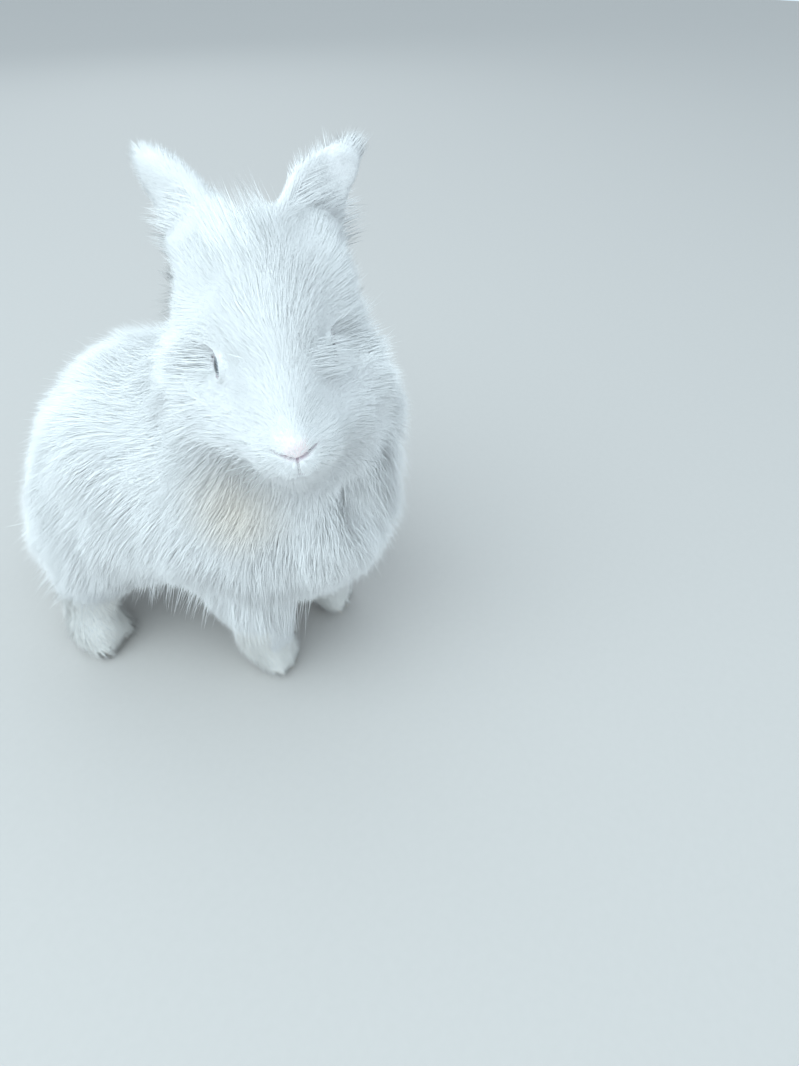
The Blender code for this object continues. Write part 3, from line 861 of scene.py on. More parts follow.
def lowerBrim(points, side, settings):
    # nothing stands higher than the brim round the eye
    outward = eyeAxes(side)[0]
    away = points - eyeMiddle[side]
    height = away @ outward
    flat = away - height[:, None] * outward
    lower = np.minimum(height, brimHeight(flat, side))
    close = (height > 0.0) & (np.linalg.norm(away, axis=1) < settings["brimReach"])
    return eyeMiddle[side] + flat + np.where(close, lower, height)[:, None] * outward


def shapeLids(points, masks, settings):
    radius = eyeSettings["radius"]
    lid = radius + settings["thickness"]
    sunk = settings["sunk"] * radius
    inmost, outmost = settings["reach"]
    edge, spread = settings["rim"]
    flareStart, flare = settings["flare"]
    rim = np.zeros(len(points))
    for side in sides:
        points = lowerBrim(points, side, settings)
        opening, distance = lidOpening(points, side)
        near = 1.0 - smoothStep(radius + inmost, radius + outmost, distance)
        wanted = sunk + (lid - sunk) * smoothStep(*settings["slope"], opening)
        wanted += flare * np.maximum(opening - flareStart, 0.0)
        way = (points - eyeMiddle[side]) / np.maximum(distance, 1e-6)[:, None]
        grip = near * (1.0 - smoothStep(*settings["grip"], opening))
        grip *= smoothStep(*settings["facing"], way @ eyeAxes(side)[0])
        shift = np.where(opening < 1.0, wanted - distance, np.maximum(wanted - distance, 0.0))
        new = distance + grip * shift
        over = (near > 0.0) & (opening > 1.0)
        new = np.where(over, np.maximum(new, radius + settings["clear"]), new)
        points = eyeMiddle[side] + way * new[:, None]
        rim = np.maximum(rim, near * np.exp(-((opening - edge) / spread) ** 2))
    masks["rim"] = rim
    return points


def ungrow(mesh, tree, owners, settings):
    # takes the growth off again, which leaves the creases bridged
    points, triangles, edges = surfaceArrays(mesh)
    names = owners[[tree.find_nearest(Vector(point * mm))[2] for point in points]]
    long = np.array([name.startswith(longCoated) for name in names], float)
    long = relax(long, edges, 3, 0.5)
    amount = settings["closing"] + long * (settings["bridging"] - settings["closing"])
    points = drawIn(points, triangles, edges, amount, 5)
    for vertex, point in zip(mesh.verts, points):
        vertex.co = Vector(point * mm)


def coatDepth(outer, normals, triangles, edges, kinds, settings):
    # how far the skin lies under each point of the coat's outline
    depth = askGuides(outer)[:, guideColumns["depth"]]
    depth = depth * (1.0 + (settings["bodyDepth"] - 1.0) * smoothStep(*settings["bodyFrom"], depth))
    for side in sides:
        kinds["foot"] = np.maximum(kinds["foot"], instepMask(outer, side))
    for kind in ("ear", "paw", "foot"):
        depth = depth + kinds[kind] * (settings[kind + "Coat"] - depth)
    for side in sides:
        distance = lidOpening(outer, side)[1]
        forward = (outer - eyeMiddle[side]) @ eyeAxes(side)[1] / np.maximum(distance, 1.0)
        ring, further, soft = settings["eyeRing"]
        reach = ring + further * forward
        least = settings["eyeShare"]
        depth = depth * (least + (1.0 - least) * smoothStep(reach - soft, reach, distance))
        away = np.linalg.norm(outer - ears[side]["root"], axis=1)
        ring, least, slope = settings["earRing"]
        most = settings["earCoat"] + least + slope * np.maximum(away - ring, 0.0)
        depth = np.minimum(depth, most)
    depth = np.minimum(depth, settings["thickest"] * localThickness(outer, normals, triangles))
    return relax(depth, edges, 6, 0.5)


def makeOutline(names, tree, owners, settings):
    # the coat's outline: the solids as one surface, its creases filled and its puffs raised
    mesh = bmesh.new()
    mesh.from_mesh(uniteNodes(names + ["eye_left", "eye_right"], settings))
    keepLargest(mesh)
    ungrow(mesh, tree, owners, settings)
    coverEyes(mesh, settings)
    outer, triangles, edges = surfaceArrays(mesh)
    outer = relax(outer, edges, settings["evenRounds"], 0.5)
    normals = vertexNormals(outer, triangles)
    outer = cutToes(outer, normals, settings)
    outer = swellEars(outer, normals, edges, settings)
    outer = raisePuffs(outer, normals)
    longCoat = askGuides(outer)[:, guideColumns["depth"]]
    outer = fillCreases(outer, normals, edges, longCoat, settings)
    return mesh, outer, longCoat, triangles, edges


def shrinkSkin(outer, longCoat, triangles, edges, tree, owners, settings):
    # the skin under a calmed outline, and the outline with its lumps
    normals = vertexNormals(outer, triangles)
    kinds = ownerWeights(outer, tree, owners, edges)[1]
    depth = coatDepth(outer, normals, triangles, edges, kinds, settings)
    calm = relax(outer, edges, settings["calmRounds"], 0.5) - outer
    calm = outer + calm * smoothStep(*settings["calmDepth"], depth)[:, None]
    inner = drawIn(calm, triangles, edges, depth, settings["shrinkSteps"])
    return inner, addLumps(outer, normals, longCoat, settings)


def markInnerEars(inner, normals, owner, edges, settings):
    found = np.zeros(len(inner))
    for side, ear in ears.items():
        share = (inner - ear["root"]) @ ear["along"] / ear["length"]
        mine = owner == f"ear_{side}"
        inside = smoothStep(*settings["facing"], normals @ ear["facing"]) * mine
        inside = inside * smoothStep(*settings["root"], share)
        found += inside * (1.0 - smoothStep(*settings["tip"], share))
    return relax(found, edges, 3, 0.5)


def buildSkin(settings):
    names = sorted(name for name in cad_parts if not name.startswith("eye"))
    tree, owners = nodeTree(names)
    mesh, outer, longCoat, triangles, edges = makeOutline(names, tree, owners, settings)
    inner, outer = shrinkSkin(outer, longCoat, triangles, edges, tree, owners, settings)
    print("skin shrunk under the coat")

    data, outer = refineFace(mesh, inner, outer, settings)
    mesh.free()
    inner, triangles, edges = meshArrays(data)
    inner, outer = (settle(points, triangles, edges, 3) for points in (inner, outer))
    owner, kinds = ownerWeights(outer, tree, owners, edges)
    guided = askGuides(outer)
    for side in sides:
        instep = instepMask(outer, side)
        owner = np.where(instep > 0.5, f"hind_foot_{side}", owner)
        kinds["foot"] = np.maximum(kinds["foot"], instep)
    print("skin cells", len(data.polygons))

    masks = {}
    inner = shapeMuzzle(inner, vertexNormals(inner, triangles), masks, muzzleSettings)
    inner = shapeLids(inner, masks, lidSettings)
    inner[:, 2] = np.maximum(inner[:, 2], settings["soles"])
    normals = vertexNormals(inner, triangles)
    height = ((outer - inner) * normals).sum(1)
    lift = relax(np.clip(settings["thinnest"] - height, 0.0, settings["mostLift"]), edges, 4, 0.5)
    outer = outer + normals * lift[:, None]
    outerNormals = vertexNormals(outer, triangles)
    masks["innerEar"] = markInnerEars(inner, normals, owner, edges, settings["innerEar"])

    data.vertices.foreach_set("co", (inner * mm).ravel())
    data.update()
    for name, values in masks.items():
        data.attributes.new(name, "FLOAT", "POINT").data.foreach_set("value", values)
    skin = linkObject("skin", data)
    data.shade_smooth()
    unwrap(skin)
    coat = {
        "inner": inner, "outer": outer, "normals": normals,
        "outerNormals": unit(relax(outerNormals, edges, 8, 0.5)),
        "triangles": triangles, "edges": edges, "owner": owner, "kinds": kinds,
        "outline": BVHTree.FromPolygons(outer.tolist(), triangles.tolist()),
        "masks": masks,
    }
    for name in ("lie", "clump", "way"):
        coat[name] = guided[:, guideColumns[name]]
    return skin, coat


def unwrap(skin):
    # an unwrap of the skin's own shape, which the coat's tufts share
    skin.data.uv_layers.new(name="OFBake")
    bpy.context.view_layer.objects.active = skin
    skin.select_set(True)
    bpy.ops.object.mode_set(mode="EDIT")
    bpy.ops.mesh.select_all(action="SELECT")
    bpy.ops.uv.smart_project(angle_limit=math.radians(66.0), island_margin=0.004)
    bpy.ops.object.mode_set(mode="OBJECT")


# The coat: tapered tufts rooted in the skin, their tips at the outline of the solids

coatSettings = {
    "share": 1.0,
    "spike": (0.0, 1.0),                  # places along a short straight tuft
    "bent": (0.0, 0.5, 1.0),              # and along a long one
    "lock": (0.0, 0.35, 0.7, 1.0),        # and along a loose lock
    "spikeDensity": (4.4, 1.9),           # on each square millimetre, in the thinnest and deepest coat
    "bentDensity": (0.0, 0.30),
    "deep": (3.0, 10.0),                  # depths between which the coat turns long
    "footLess": 0.30,                     # shares of the short tufts left out on the feet and ears
    "earLess": 0.15,
    "padLess": 0.6,                       # and at the nose
    "eyeExtra": 0.9,                      # added near an eye, between these distances from it
    "eyeRing": (15.0, 11.0),
    "eyeBare": 9.5,                       # no tuft grows nearer to it inside the lids
    "floorGap": (0.4, 1.2),               # nor so low
    "width": (0.22, 0.36),                # of the thinnest and thickest tufts
    "tipDrop": 0.30,                      # how far the shortest tips stay under the outline
    "flyaway": 0.13,                      # share of tufts that stand off
    "loose": (0.06, 0.2),                 # how far a tip strays, over its length; and a flyaway's
    "tangle": ((36.0, 3, 0.22), (9.0, 5, 0.12)),        # waves in the lie: size, seed and strength
    "sag": 0.03,                          # over the length
    "straight": 0.4,                      # of the straightest tufts
    "wisp": {"spike": (0.6, 4.2), "bent": (1.0, 9.0)},   # how far tips may pass the outline
    "wispRarity": 2.2,                    # the higher, the fewer that pass it far
    "lying": 1.1,                         # how much flatter the long coat lies than its guides say
    "calm": 0.70,                         # share of the guides' clumping that is used
    "lockSize": {"spike": 12, "bent": 26, "lock": 12},   # tufts that lean together
    "fewest": 60,                         # tufts worth a piece
    "normalMix": 0.92,                    # how much a tuft is shaded as the body under it
    "patch": 0.003,                       # size of a tuft on the unwrap
    "leastDepth": 0.8,
    "lyingFrom": (3.0, 9.0),              # depths between which it starts to lie flatter
    "uneven": (0.8, 1.15),                # how differently far the tufts trail
    "thickAt": 20.0,                      # depth at which tufts are thickest
    "shortRarity": 1.5,                   # the higher, the fewer tips stay low
    "eyeGuard": 7.0,                      # beyond an eyeball, where no tuft may cross the lids' opening
    "cuts": (1.0, 0.8, 0.6, 0.4, 0.2),    # places along a tuft where such a crossing is looked for
    "cutStep": 0.2,                       # how far short of it the tuft is cut
    "stub": 0.15,                         # what is cut shorter is left out
    "pull": 10.0,                         # the furthest that a tip is drawn into its lock
    "creaseBare": 1.3,                    # how bare the folds of the muzzle are
}
tuftSettings = {
    "trailBend": 1.9,                     # the higher, the later a tuft lies down
    "strayBend": 1.4,
    "lowest": 0.3,                        # height over the floor
    "taper": 1.5,                         # the higher, the longer it stays thick
    "neck": 0.8,                          # share of its width at the root
    "section": (0.20, 0.45),              # how low its edges and how high its ridge, in half widths
    "edgeLean": (0.8, 0.3),               # how far its edges are shaded as facing out and up
}
flowSettings = {
    "earFan": 0.035,                      # how fast an ear's hair turns outwards from its middle
    "feet": (0.0, -0.8, -0.5),            # the way it lies on the feet
    "eyeRing": (9.0, 17.0),               # where the face's hair parts round an eye
    "eyeAway": (0.05, 0.95),              # how much it turns away, and how little of it points in
}


def flowField(coat, settings):
    # the way the coat lies at each vertex of the skin
    way = coat["way"].copy()
    owner = coat["owner"]
    for side, ear in ears.items():
        sideways = (coat["inner"] - ear["root"]) @ ear["inward"]
        fan = ear["along"] + ear["inward"] * (settings["earFan"] * sideways)[:, None]
        way = np.where((owner == f"ear_{side}")[:, None], fan, way)
        for kind in pawAhead:
            way = np.where((owner == f"{kind}_{side}")[:, None], np.array(settings["feet"]), way)
    away, inwards = settings["eyeAway"]
    for side in sides:
        beside = coat["inner"] - eyeMiddle[side]
        near = 1.0 - smoothStep(*settings["eyeRing"], np.linalg.norm(beside, axis=1))
        axis = eyeAxes(side)[0]
        radial = unit(beside - (beside @ axis)[:, None] * axis)
        way = unit(way)
        towards = np.minimum((way * radial).sum(1), 0.0)
        way = way + radial * (near * (away - inwards * towards))[:, None]
    way = relax(way, coat["edges"], 8, 0.5)
    normals = coat["normals"]
    flat = way - normals * (way * normals).sum(1, keepdims=True)
    return unit(flat)


def ripple(points, size, seed):
    # slow smooth noise from -1 to 1, three values for each point
    draw = np.random.default_rng(seed)
    total = np.zeros_like(points)
    for _ in range(6):
        wave = draw.normal(size=(3, 3)) * (2.0 * math.pi / size) * 0.6
        total += np.sin(points @ wave + draw.uniform(0.0, 6.28, 3))
    return total / 3.0


def pickRoots(coat, density):
    # random places on the skin, so many for each square millimetre
    triangles = coat["triangles"]
    corners = coat["inner"][triangles]
    area = 0.5 * np.linalg.norm(
        np.cross(corners[:, 1] - corners[:, 0], corners[:, 2] - corners[:, 0]), axis=1)
    expected = area * density[triangles].mean(1)
    count = np.floor(expected + chance.random(len(expected))).astype(int)
    chosen = np.repeat(np.arange(len(triangles)), count)
    chance.shuffle(chosen)
    first, second = np.sqrt(chance.random(len(chosen))), chance.random(len(chosen))
    shares = np.stack((1.0 - first, first * (1.0 - second), first * second), axis=1)
    return chosen, shares


def atRoots(values, coat, chosen, shares):
    # the skin's values at the roots
    picked = values[coat["triangles"][chosen]]
    if values.ndim == 1:
        return (picked * shares).sum(1)
    return (picked * shares[:, :, None]).sum(1)


def nearestOf(points, centres):
    # the number of the centre nearest to each point
    tree = KDTree(len(centres))
    for index, centre in enumerate(centres):
        tree.insert(centre, index)
    tree.balance()
    return np.array([tree.find(point)[1] for point in points])


def tuftCurves(roots, places):
    # points along each tuft, places from 0 at the root to 1 at the tip
    share = np.array(places)[None, :, None]
    straight = roots["straight"][:, None, None]
    rise = (1.0 - straight) * np.sin(0.5 * math.pi * share) + straight * share
    trail = (1.0 - straight) * share ** tuftSettings["trailBend"] + straight * share
    curve = roots["at"][:, None] + roots["out"][:, None] * rise + roots["trail"][:, None] * trail
    curve = curve + roots["stray"][:, None] * share ** tuftSettings["strayBend"]
    curve[:, :, 2] -= roots["sag"][:, None] * share[:, :, 0] ** 2
    curve[:, :, 2] = np.maximum(curve[:, :, 2], tuftSettings["lowest"])
    return curve


def tipsOf(roots):
    tips = roots["at"] + roots["out"] + roots["trail"] + roots["stray"]
    tips[:, 2] -= roots["sag"]
    return tips


def keepRoots(roots, kept):
    return {key: value[kept] for key, value in roots.items()}


def holdTips(roots, coat, reach, rarity):
    # draws back the tips that would stand out past the coat's outline
    low, high = reach
    allowed = low + (high - low) * chance.random(len(roots["at"])) ** rarity
    for index, tip in enumerate(tipsOf(roots)):
        place, normal, _, _ = coat["outline"].find_nearest(Vector(tip))
        past = (Vector(tip) - place).dot(normal) - allowed[index]
        if past > 0.0:
            roots["trail"][index] -= np.array(normal) * past
    return roots


def clearEyes(roots, settings):
    # cuts back the tufts that would cross an eye
    tips = tipsOf(roots)
    reach = np.ones(len(tips))
    for side in sides:
        for share in settings["cuts"]:
            opening, distance = lidOpening(roots["at"] + (tips - roots["at"]) * share, side)
            crossing = (opening < 1.0) & (distance < eyeSettings["radius"] + settings["eyeGuard"])
            reach = np.where(crossing, share - settings["cutStep"], reach)
    for key in ("out", "trail", "stray"):
        roots[key] = roots[key] * reach[:, None]
    roots["sag"] = roots["sag"] * reach
    return keepRoots(roots, reach > settings["stub"])


def gatherClumps(roots, spacing):
    # neighbouring tips lean together into locks
    tips = tipsOf(roots)
    count = max(2, int(len(tips) / spacing))
    centres = chance.choice(len(tips), count, replace=False)
    nearest = centres[nearestOf(roots["at"], roots["at"][centres])]
    pull = tips[nearest] - tips
    reach = np.linalg.norm(pull, axis=1, keepdims=True)
    pull = pull * np.minimum(1.0, coatSettings["pull"] / np.maximum(reach, 1e-6))
    roots["stray"] = roots["stray"] + pull * roots["clump"][:, None]
    return roots


def tuftMesh(name, curve, roots, places, settings):
    # closed three-sided tapers, one for each curve
    count, rows = curve.shape[0], curve.shape[1]
    rings = rows - 1
    tangent = unit(np.gradient(curve, axis=1))
    side = unit(np.cross(tangent, roots["face"][:, None]))
    lift = np.cross(side, tangent)
    shares = np.array(places[:rings])
    taper = 1.0 - shares ** tuftSettings["taper"]
    taper = taper * np.where(shares > 0, 1.0, tuftSettings["neck"])
    half = 0.5 * roots["width"][:, None, None] * taper[None, :, None]
    middle, side, lift = curve[:, :rings], side[:, :rings], lift[:, :rings]
    edge, ridge = tuftSettings["section"]
    ring = np.stack((middle - side * half - lift * half * edge,
                     middle + side * half - lift * half * edge,
                     middle + lift * half * ridge), axis=2)
    points = np.concatenate((ring.reshape(count, rings * 3, 3), curve[:, -1:]), axis=1)
    beside, above = tuftSettings["edgeLean"]
    radial = np.stack((-side * beside + lift * above, side * beside + lift * above, lift), axis=2)
    radial = np.concatenate((radial.reshape(count, rings * 3, 3), lift[:, -1:]), axis=1)
    mix = settings["normalMix"]
    shading = unit(unit(radial) * (1.0 - mix) + roots["face"][:, None] * mix)
    each = rings * 3 + 1
    pattern = [(0, 1, 2)]
    for row in range(rings - 1):
        for k in range(3):
            a, b = row * 3 + k, row * 3 + (k + 1) % 3
            pattern += [(a, b + 3, b), (a, a + 3, b + 3)]
    for k in range(3):
        pattern.append(((rings - 1) * 3 + (k + 1) % 3, (rings - 1) * 3 + k, each - 1))
    faces = (np.array(pattern)[None] + (np.arange(count) * each)[:, None, None]).reshape(-1, 3)
    data = bpy.data.meshes.new(name)
    data.vertices.add(count * each)
    data.vertices.foreach_set("co", (points * mm).astype(np.float32).ravel())
    data.loops.add(faces.size)
    data.loops.foreach_set("vertex_index", faces.astype(np.int32).ravel())
    data.polygons.add(len(faces))
    data.polygons.foreach_set("loop_start", np.arange(0, faces.size, 3, dtype=np.int32))
    data.update(calc_edges=True)
    along = np.tile(np.concatenate((np.repeat(places[:rings], 3), [1.0])), count)
    data.attributes.new("along", "FLOAT", "POINT").data.foreach_set("value", along)
    tone = np.repeat(roots["tone"], each)
    data.attributes.new("tone", "FLOAT", "POINT").data.foreach_set("value", tone)
    spread = np.tile(np.concatenate((np.tile((-0.5, 0.5, 0.0), rings), [0.0])), count)
    patch = np.stack((spread, along - 0.5), axis=1) * settings["patch"]
    uv = np.repeat(roots["uv"], each, axis=0) + patch
    layer = data.uv_layers.new(name="OFBake")
    layer.uv.foreach_set("vector", uv[faces.ravel()].astype(np.float32).ravel())
    data.shade_smooth()
    data.normals_split_custom_set_from_vertices(shading.reshape(-1, 3).tolist())
    return data


furWords = {"Ear": "ear", "Paw": "foot", "Foot": "foot"}


def addCoatPiece(name, curve, roots, places, chosen, finishes):
    kinds = [kind for word, kind in furWords.items() if word in name]
    kind = kinds[0] if kinds else "coat"
    data = tuftMesh(name, curve[chosen], keepRoots(roots, chosen), places, coatSettings)
    piece = linkObject(name, data)
    data.materials.append(finishes[kind])
    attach(piece, "root")
    print(name, len(data.polygons), "triangles")


def uvAtRoots(skin, chosen, shares):
    layer = skin.data.uv_layers["OFBake"]
    uv = np.empty(len(skin.data.loops) * 2)
    layer.uv.foreach_get("vector", uv)
    loops = np.empty(len(skin.data.loop_triangles) * 3, np.int64)
    skin.data.loop_triangles.foreach_get("loops", loops)
    corners = uv.reshape(-1, 2)[loops.reshape(-1, 3)[chosen]]
    return (corners * shares[:, :, None]).sum(1)


def makeRoots(skin, coat, density, flow, settings):
    chosen, shares = pickRoots(coat, density)
    at = atRoots(coat["inner"], coat, chosen, shares)
    out = atRoots(coat["outer"] - coat["inner"], coat, chosen, shares)
    face = unit(atRoots(coat["outerNormals"], coat, chosen, shares))
    depth = np.maximum((out * face).sum(1), settings["leastDepth"])
    lie = atRoots(coat["lie"], coat, chosen, shares)
    lie = lie * (1.0 + settings["lying"] * smoothStep(*settings["lyingFrom"], depth))
    count = len(chosen)
    height = 1.0 - settings["tipDrop"] * chance.random(count) ** settings["shortRarity"]
    tangle = sum(ripple(at, size, seed) * strength for size, seed, strength in settings["tangle"])
    lean = unit(unit(atRoots(flow, coat, chosen, shares)) + tangle)
    trail = lean * (lie * depth * chance.uniform(*settings["uneven"], count))[:, None]
    length = depth * (1.0 + lie)
    firm, free = settings["loose"]
    loose = np.where(chance.random(count) < settings["flyaway"], free, firm)
    thin, thick = settings["width"]
    return {
        "at": at, "out": out * height[:, None], "face": face, "depth": depth, "trail": trail,
        "stray": chance.normal(size=(count, 3)) * (loose * length)[:, None],
        "sag": settings["sag"] * length,
        "straight": chance.uniform(0.0, settings["straight"], count),
        "width": thin + (thick - thin) * np.clip(depth / settings["thickAt"], 0.0, 1.0),
        "clump": atRoots(coat["clump"], coat, chosen, shares) * settings["calm"],
        "tone": chance.random(count), "uv": uvAtRoots(skin, chosen, shares),
        "owner": coat["owner"][coat["triangles"][chosen, shares.argmax(1)]],
    }


tipLevels = {"thigh": 38.0, "trunk": 32.0, "fore_leg": 15.0}       # lowest tips on each part
tipRagged = 5.0                           # and how much higher they may end


def clearFeet(roots):
    # the haunch's hair ends above the foot, and the elbow's above the paw
    for part, level in tipLevels.items():
        mine = np.char.startswith(roots["owner"], part)
        ends = tipsOf(roots)[:, 2]
        wanted = np.minimum(level + tipRagged * chance.random(len(ends)), roots["at"][:, 2])
        roots["trail"][:, 2] += np.where(mine, np.maximum(wanted - ends, 0.0), 0.0)
    return roots


def coatDensity(coat, settings):
    # tufts on each square millimetre at each vertex, short ones and long ones
    depth = ((coat["outer"] - coat["inner"]) * coat["outerNormals"]).sum(1)
    masks = coat["masks"]
    room = 1.0 - np.clip(masks["crease"] * settings["creaseBare"] + masks["rim"], 0.0, 1.0)
    for side in sides:
        opening, distance = lidOpening(coat["inner"], side)
        bare = (opening < lidSettings["rim"][0]) & (distance < settings["eyeBare"])
        room = room * np.where(bare, 0.0, 1.0)
        room = room * (1.0 + settings["eyeExtra"] * smoothStep(*settings["eyeRing"], distance))
    room = room * (1.0 - settings["padLess"] * masks["pad"])
    room = room * smoothStep(*settings["floorGap"], coat["inner"][:, 2])
    room = room * settings["share"]
    deep = smoothStep(*settings["deep"], depth)
    thinner = 1.0 - settings["footLess"] * coat["kinds"]["foot"]
    thinner = thinner - settings["earLess"] * coat["kinds"]["ear"]
    spikes, bent = (low + (high - low) * deep for low, high in (
        settings["spikeDensity"], settings["bentDensity"]))
    return spikes * thinner * room, bent * room


# Where the coat's pieces meet: along the body, and behind the nose tip
pieceCuts = {"chest": -62.0, "shoulders": -40.0, "rump": 40.0, "face": 42.0}


def pieceOf(roots):
    # the coat's pieces, each small enough to bake
    x, y = roots["at"][:, :2].T
    owner = roots["owner"]
    name = np.where(y < pieceCuts["shoulders"], "coatShoulders", "coatLoin").astype("U24")
    name = np.where(y > pieceCuts["rump"], "coatRump", name)
    name = np.char.add(name, np.where(x > 0.0, "Left", "Right"))
    chest = (y < pieceCuts["chest"]) & (owner == "trunk")
    name = np.where(chest, "coatChest", name)
    name = np.where(owner == "neck", "coatMane", name)
    head = toHead(roots["at"])
    crown = np.where(head[:, 0] > 0.0, "coatCrownLeft", "coatCrownRight")
    onHead = np.where(head[:, 1] < pieceCuts["face"], "coatFace", crown)
    name = np.where(owner == "head", onHead, name)
    name = np.where(owner == "tail", "coatTail", name)
    for part, label in (("ear", "coatEar"), ("thigh", "coatThigh"), ("fore_leg", "coatForeleg"),
                        ("fore_paw", "coatPaw"), ("hind_foot", "coatFoot")):
        for side in sides:
            name = np.where(owner == f"{part}_{side}", label + side.capitalize(), name)
    return name


def buildCoat(skin, coat, finishes):
    settings = coatSettings
    flow = flowField(coat, flowSettings)
    spikes, bent = coatDensity(coat, settings)
    for suffix, density, style in (("", spikes, "spike"), ("Long", bent, "bent")):
        roots = clearEyes(makeRoots(skin, coat, density, flow, settings), settings)
        roots = gatherClumps(roots, settings["lockSize"][style])
        roots = holdTips(clearFeet(roots), coat, settings["wisp"][style], settings["wispRarity"])
        curve = tuftCurves(roots, settings[style])
        names = pieceOf(roots)
        for name in sorted(set(names)):
            chosen = np.flatnonzero(names == name)
            if len(chosen) < settings["fewest"]:
                continue
            addCoatPiece(name + suffix, curve, roots, settings[style], chosen, finishes)
    print("coat laid")


# Loose hair that stands out past the coat

fringes = {
    # how many on each square millimetre, lengths, how far they rise off the skin, width, clumping
    "earEdge": {"density": 1.7, "length": (3.0, 8.5), "rise": 0.15, "width": 0.22, "clump": 0.3},
    "earTip": {"density": 3.0, "length": (4.0, 11.0), "rise": 0.1, "width": 0.22, "clump": 0.35},
    "earInside": {"density": 1.2, "length": (6.0, 12.0), "rise": 0.10, "width": 0.24, "clump": 0.1},
    "earBase": {"density": 0.7, "length": (7.0, 14.0), "rise": 0.3, "width": 0.24, "clump": 0.3},
    "crown": {"density": 1.5, "length": (10.0, 24.0), "rise": 0.1, "width": 0.26, "clump": 0.35},
    "browLock": {"density": 1.5, "length": (7.0, 13.0), "rise": 0.35, "width": 0.26, "clump": 0.25},
    "bib": {"density": 0.17, "length": (14.0, 25.0), "rise": 0.30, "width": 0.34, "clump": 0.5},
    "flank": {"density": 0.14, "length": (10.0, 22.0), "rise": 0.30, "width": 0.30, "clump": 0.45},
    "haunch": {"density": 0.16, "length": (9.0, 20.0), "rise": 0.35, "width": 0.30, "clump": 0.4},
}


# each ear's: length, how far it leans to the other ear, and where along the edge it starts
earFringes = {"right": (0.75, 0.3, 0.4), "left": (1.0, 0.6, 0.15)}
looseSettings = {
    "shortRarity": 1.4,                   # the lower, the more of the hair is long
    "spread": 0.10,                       # how much the ways differ
    "stray": 0.05,                        # of a tip and its sag, over the length
    "sag": 0.04,
    "straight": (0.2, 0.9),
}


def ovalMask(points, middle, reach):
    # 1 inside an oval of the head, to 0 at its edge
    away = np.linalg.norm((toHead(points) - middle) / reach, axis=1)
    return 1.0 - smoothStep(0.6, 1.0, away)


def fringePlaces(coat):
    # name, side, where each fringe grows and the way it points
    inner, normals, owner = coat["inner"], coat["normals"], coat["owner"]
    isHead = owner == "head"
    for side, ear in ears.items():
        mine = (owner == f"ear_{side}").astype(float)
        share = (inner - ear["root"]) @ ear["along"] / ear["length"]
        medial = smoothStep(0.35, 0.8, normals @ ear["inward"])
        long, lean, start = earFringes[side]
        way = ear["along"] * 0.8 + ear["inward"] * lean
        yield "earEdge", side, mine * medial * smoothStep(start, start + 0.2, share), way, long
        yield "earTip", side, mine * smoothStep(0.84, 0.93, share), ear["along"], long
        facing = smoothStep(0.3, 0.8, normals @ ear["facing"])
        inside = mine * facing * (1.0 - smoothStep(0.4, 0.7, share))
        yield "earInside", side, inside, ear["along"] + ear["inward"] * 0.25, 1.0
        lateral = smoothStep(0.2, 0.7, normals @ -ear["inward"])
        base = mine * lateral * (1.0 - smoothStep(0.25, 0.5, share))
        way = ear["along"] * 0.8 - ear["inward"] * 0.5
        yield "earBase", side, base, way, long
    crown = isHead * ovalMask(inner, (-1.0, 62.0, 58.0), (17.0, 14.0, 18.0))
    yield "crown", "", crown, fromHead((-0.28, 0.12, 1.0)) - noseTip, 1.0
    brow = isHead * ovalMask(inner, (16.0, 33.0, 20.0), (8.0, 8.0, 11.0))
    yield "browLock", "left", brow, fromHead((1.0, 0.15, -0.05)) - noseTip, 1.0
    long = np.isin(owner, ("trunk", "neck")).astype(float)
    for side, sign in sides.items():
        x, y, z = (inner * (sign, 1.0, 1.0)).T
        low = long * (1.0 - smoothStep(70.0, 100.0, z)) * smoothStep(34.0, 44.0, z)
        front = low * smoothStep(12.0, 24.0, x) * (1.0 - smoothStep(-60.0, -40.0, y))
        yield "bib", side, front, np.array((0.4 * sign, -0.3, -0.85)), 1.0
        middle = low * smoothStep(30.0, 44.0, x) * smoothStep(-56.0, -40.0, y)
        yield "flank", side, middle, np.array((0.3 * sign, 0.15, -0.95)), 1.0
        thigh = (owner == f"thigh_{side}") + long * smoothStep(46.0, 60.0, y)
        thigh = thigh * smoothStep(24.0, 36.0, x) * smoothStep(38.0, 46.0, z)
        thigh = thigh * (1.0 - smoothStep(70.0, 96.0, z))
        yield "haunch", side, thigh, np.array((0.5 * sign, 0.4, -0.75)), 1.0


def fringeRoots(skin, coat, mask, way, scale, settings):
    chosen, shares = pickRoots(coat, mask * settings["density"] * coatSettings["share"])
    count = len(chosen)
    face = unit(atRoots(coat["outerNormals"], coat, chosen, shares))
    short, tall = settings["length"]
    length = scale * (short + (tall - short) * chance.random(count) ** looseSettings["shortRarity"])
    way = unit(unit(way)[None] + chance.normal(size=(count, 3)) * looseSettings["spread"])
    return {
        "at": atRoots(coat["inner"], coat, chosen, shares), "face": face,
        "out": face * (length * settings["rise"])[:, None], "trail": way * length[:, None],
        "stray": chance.normal(size=(count, 3)) * (looseSettings["stray"] * length)[:, None],
        "sag": looseSettings["sag"] * length,
        "straight": chance.uniform(*looseSettings["straight"], count),
        "width": np.full(count, settings["width"]), "depth": length,
        "clump": np.full(count, settings["clump"]),
        "tone": chance.random(count), "uv": uvAtRoots(skin, chosen, shares),
        "owner": coat["owner"][coat["triangles"][chosen, 0]],
    }


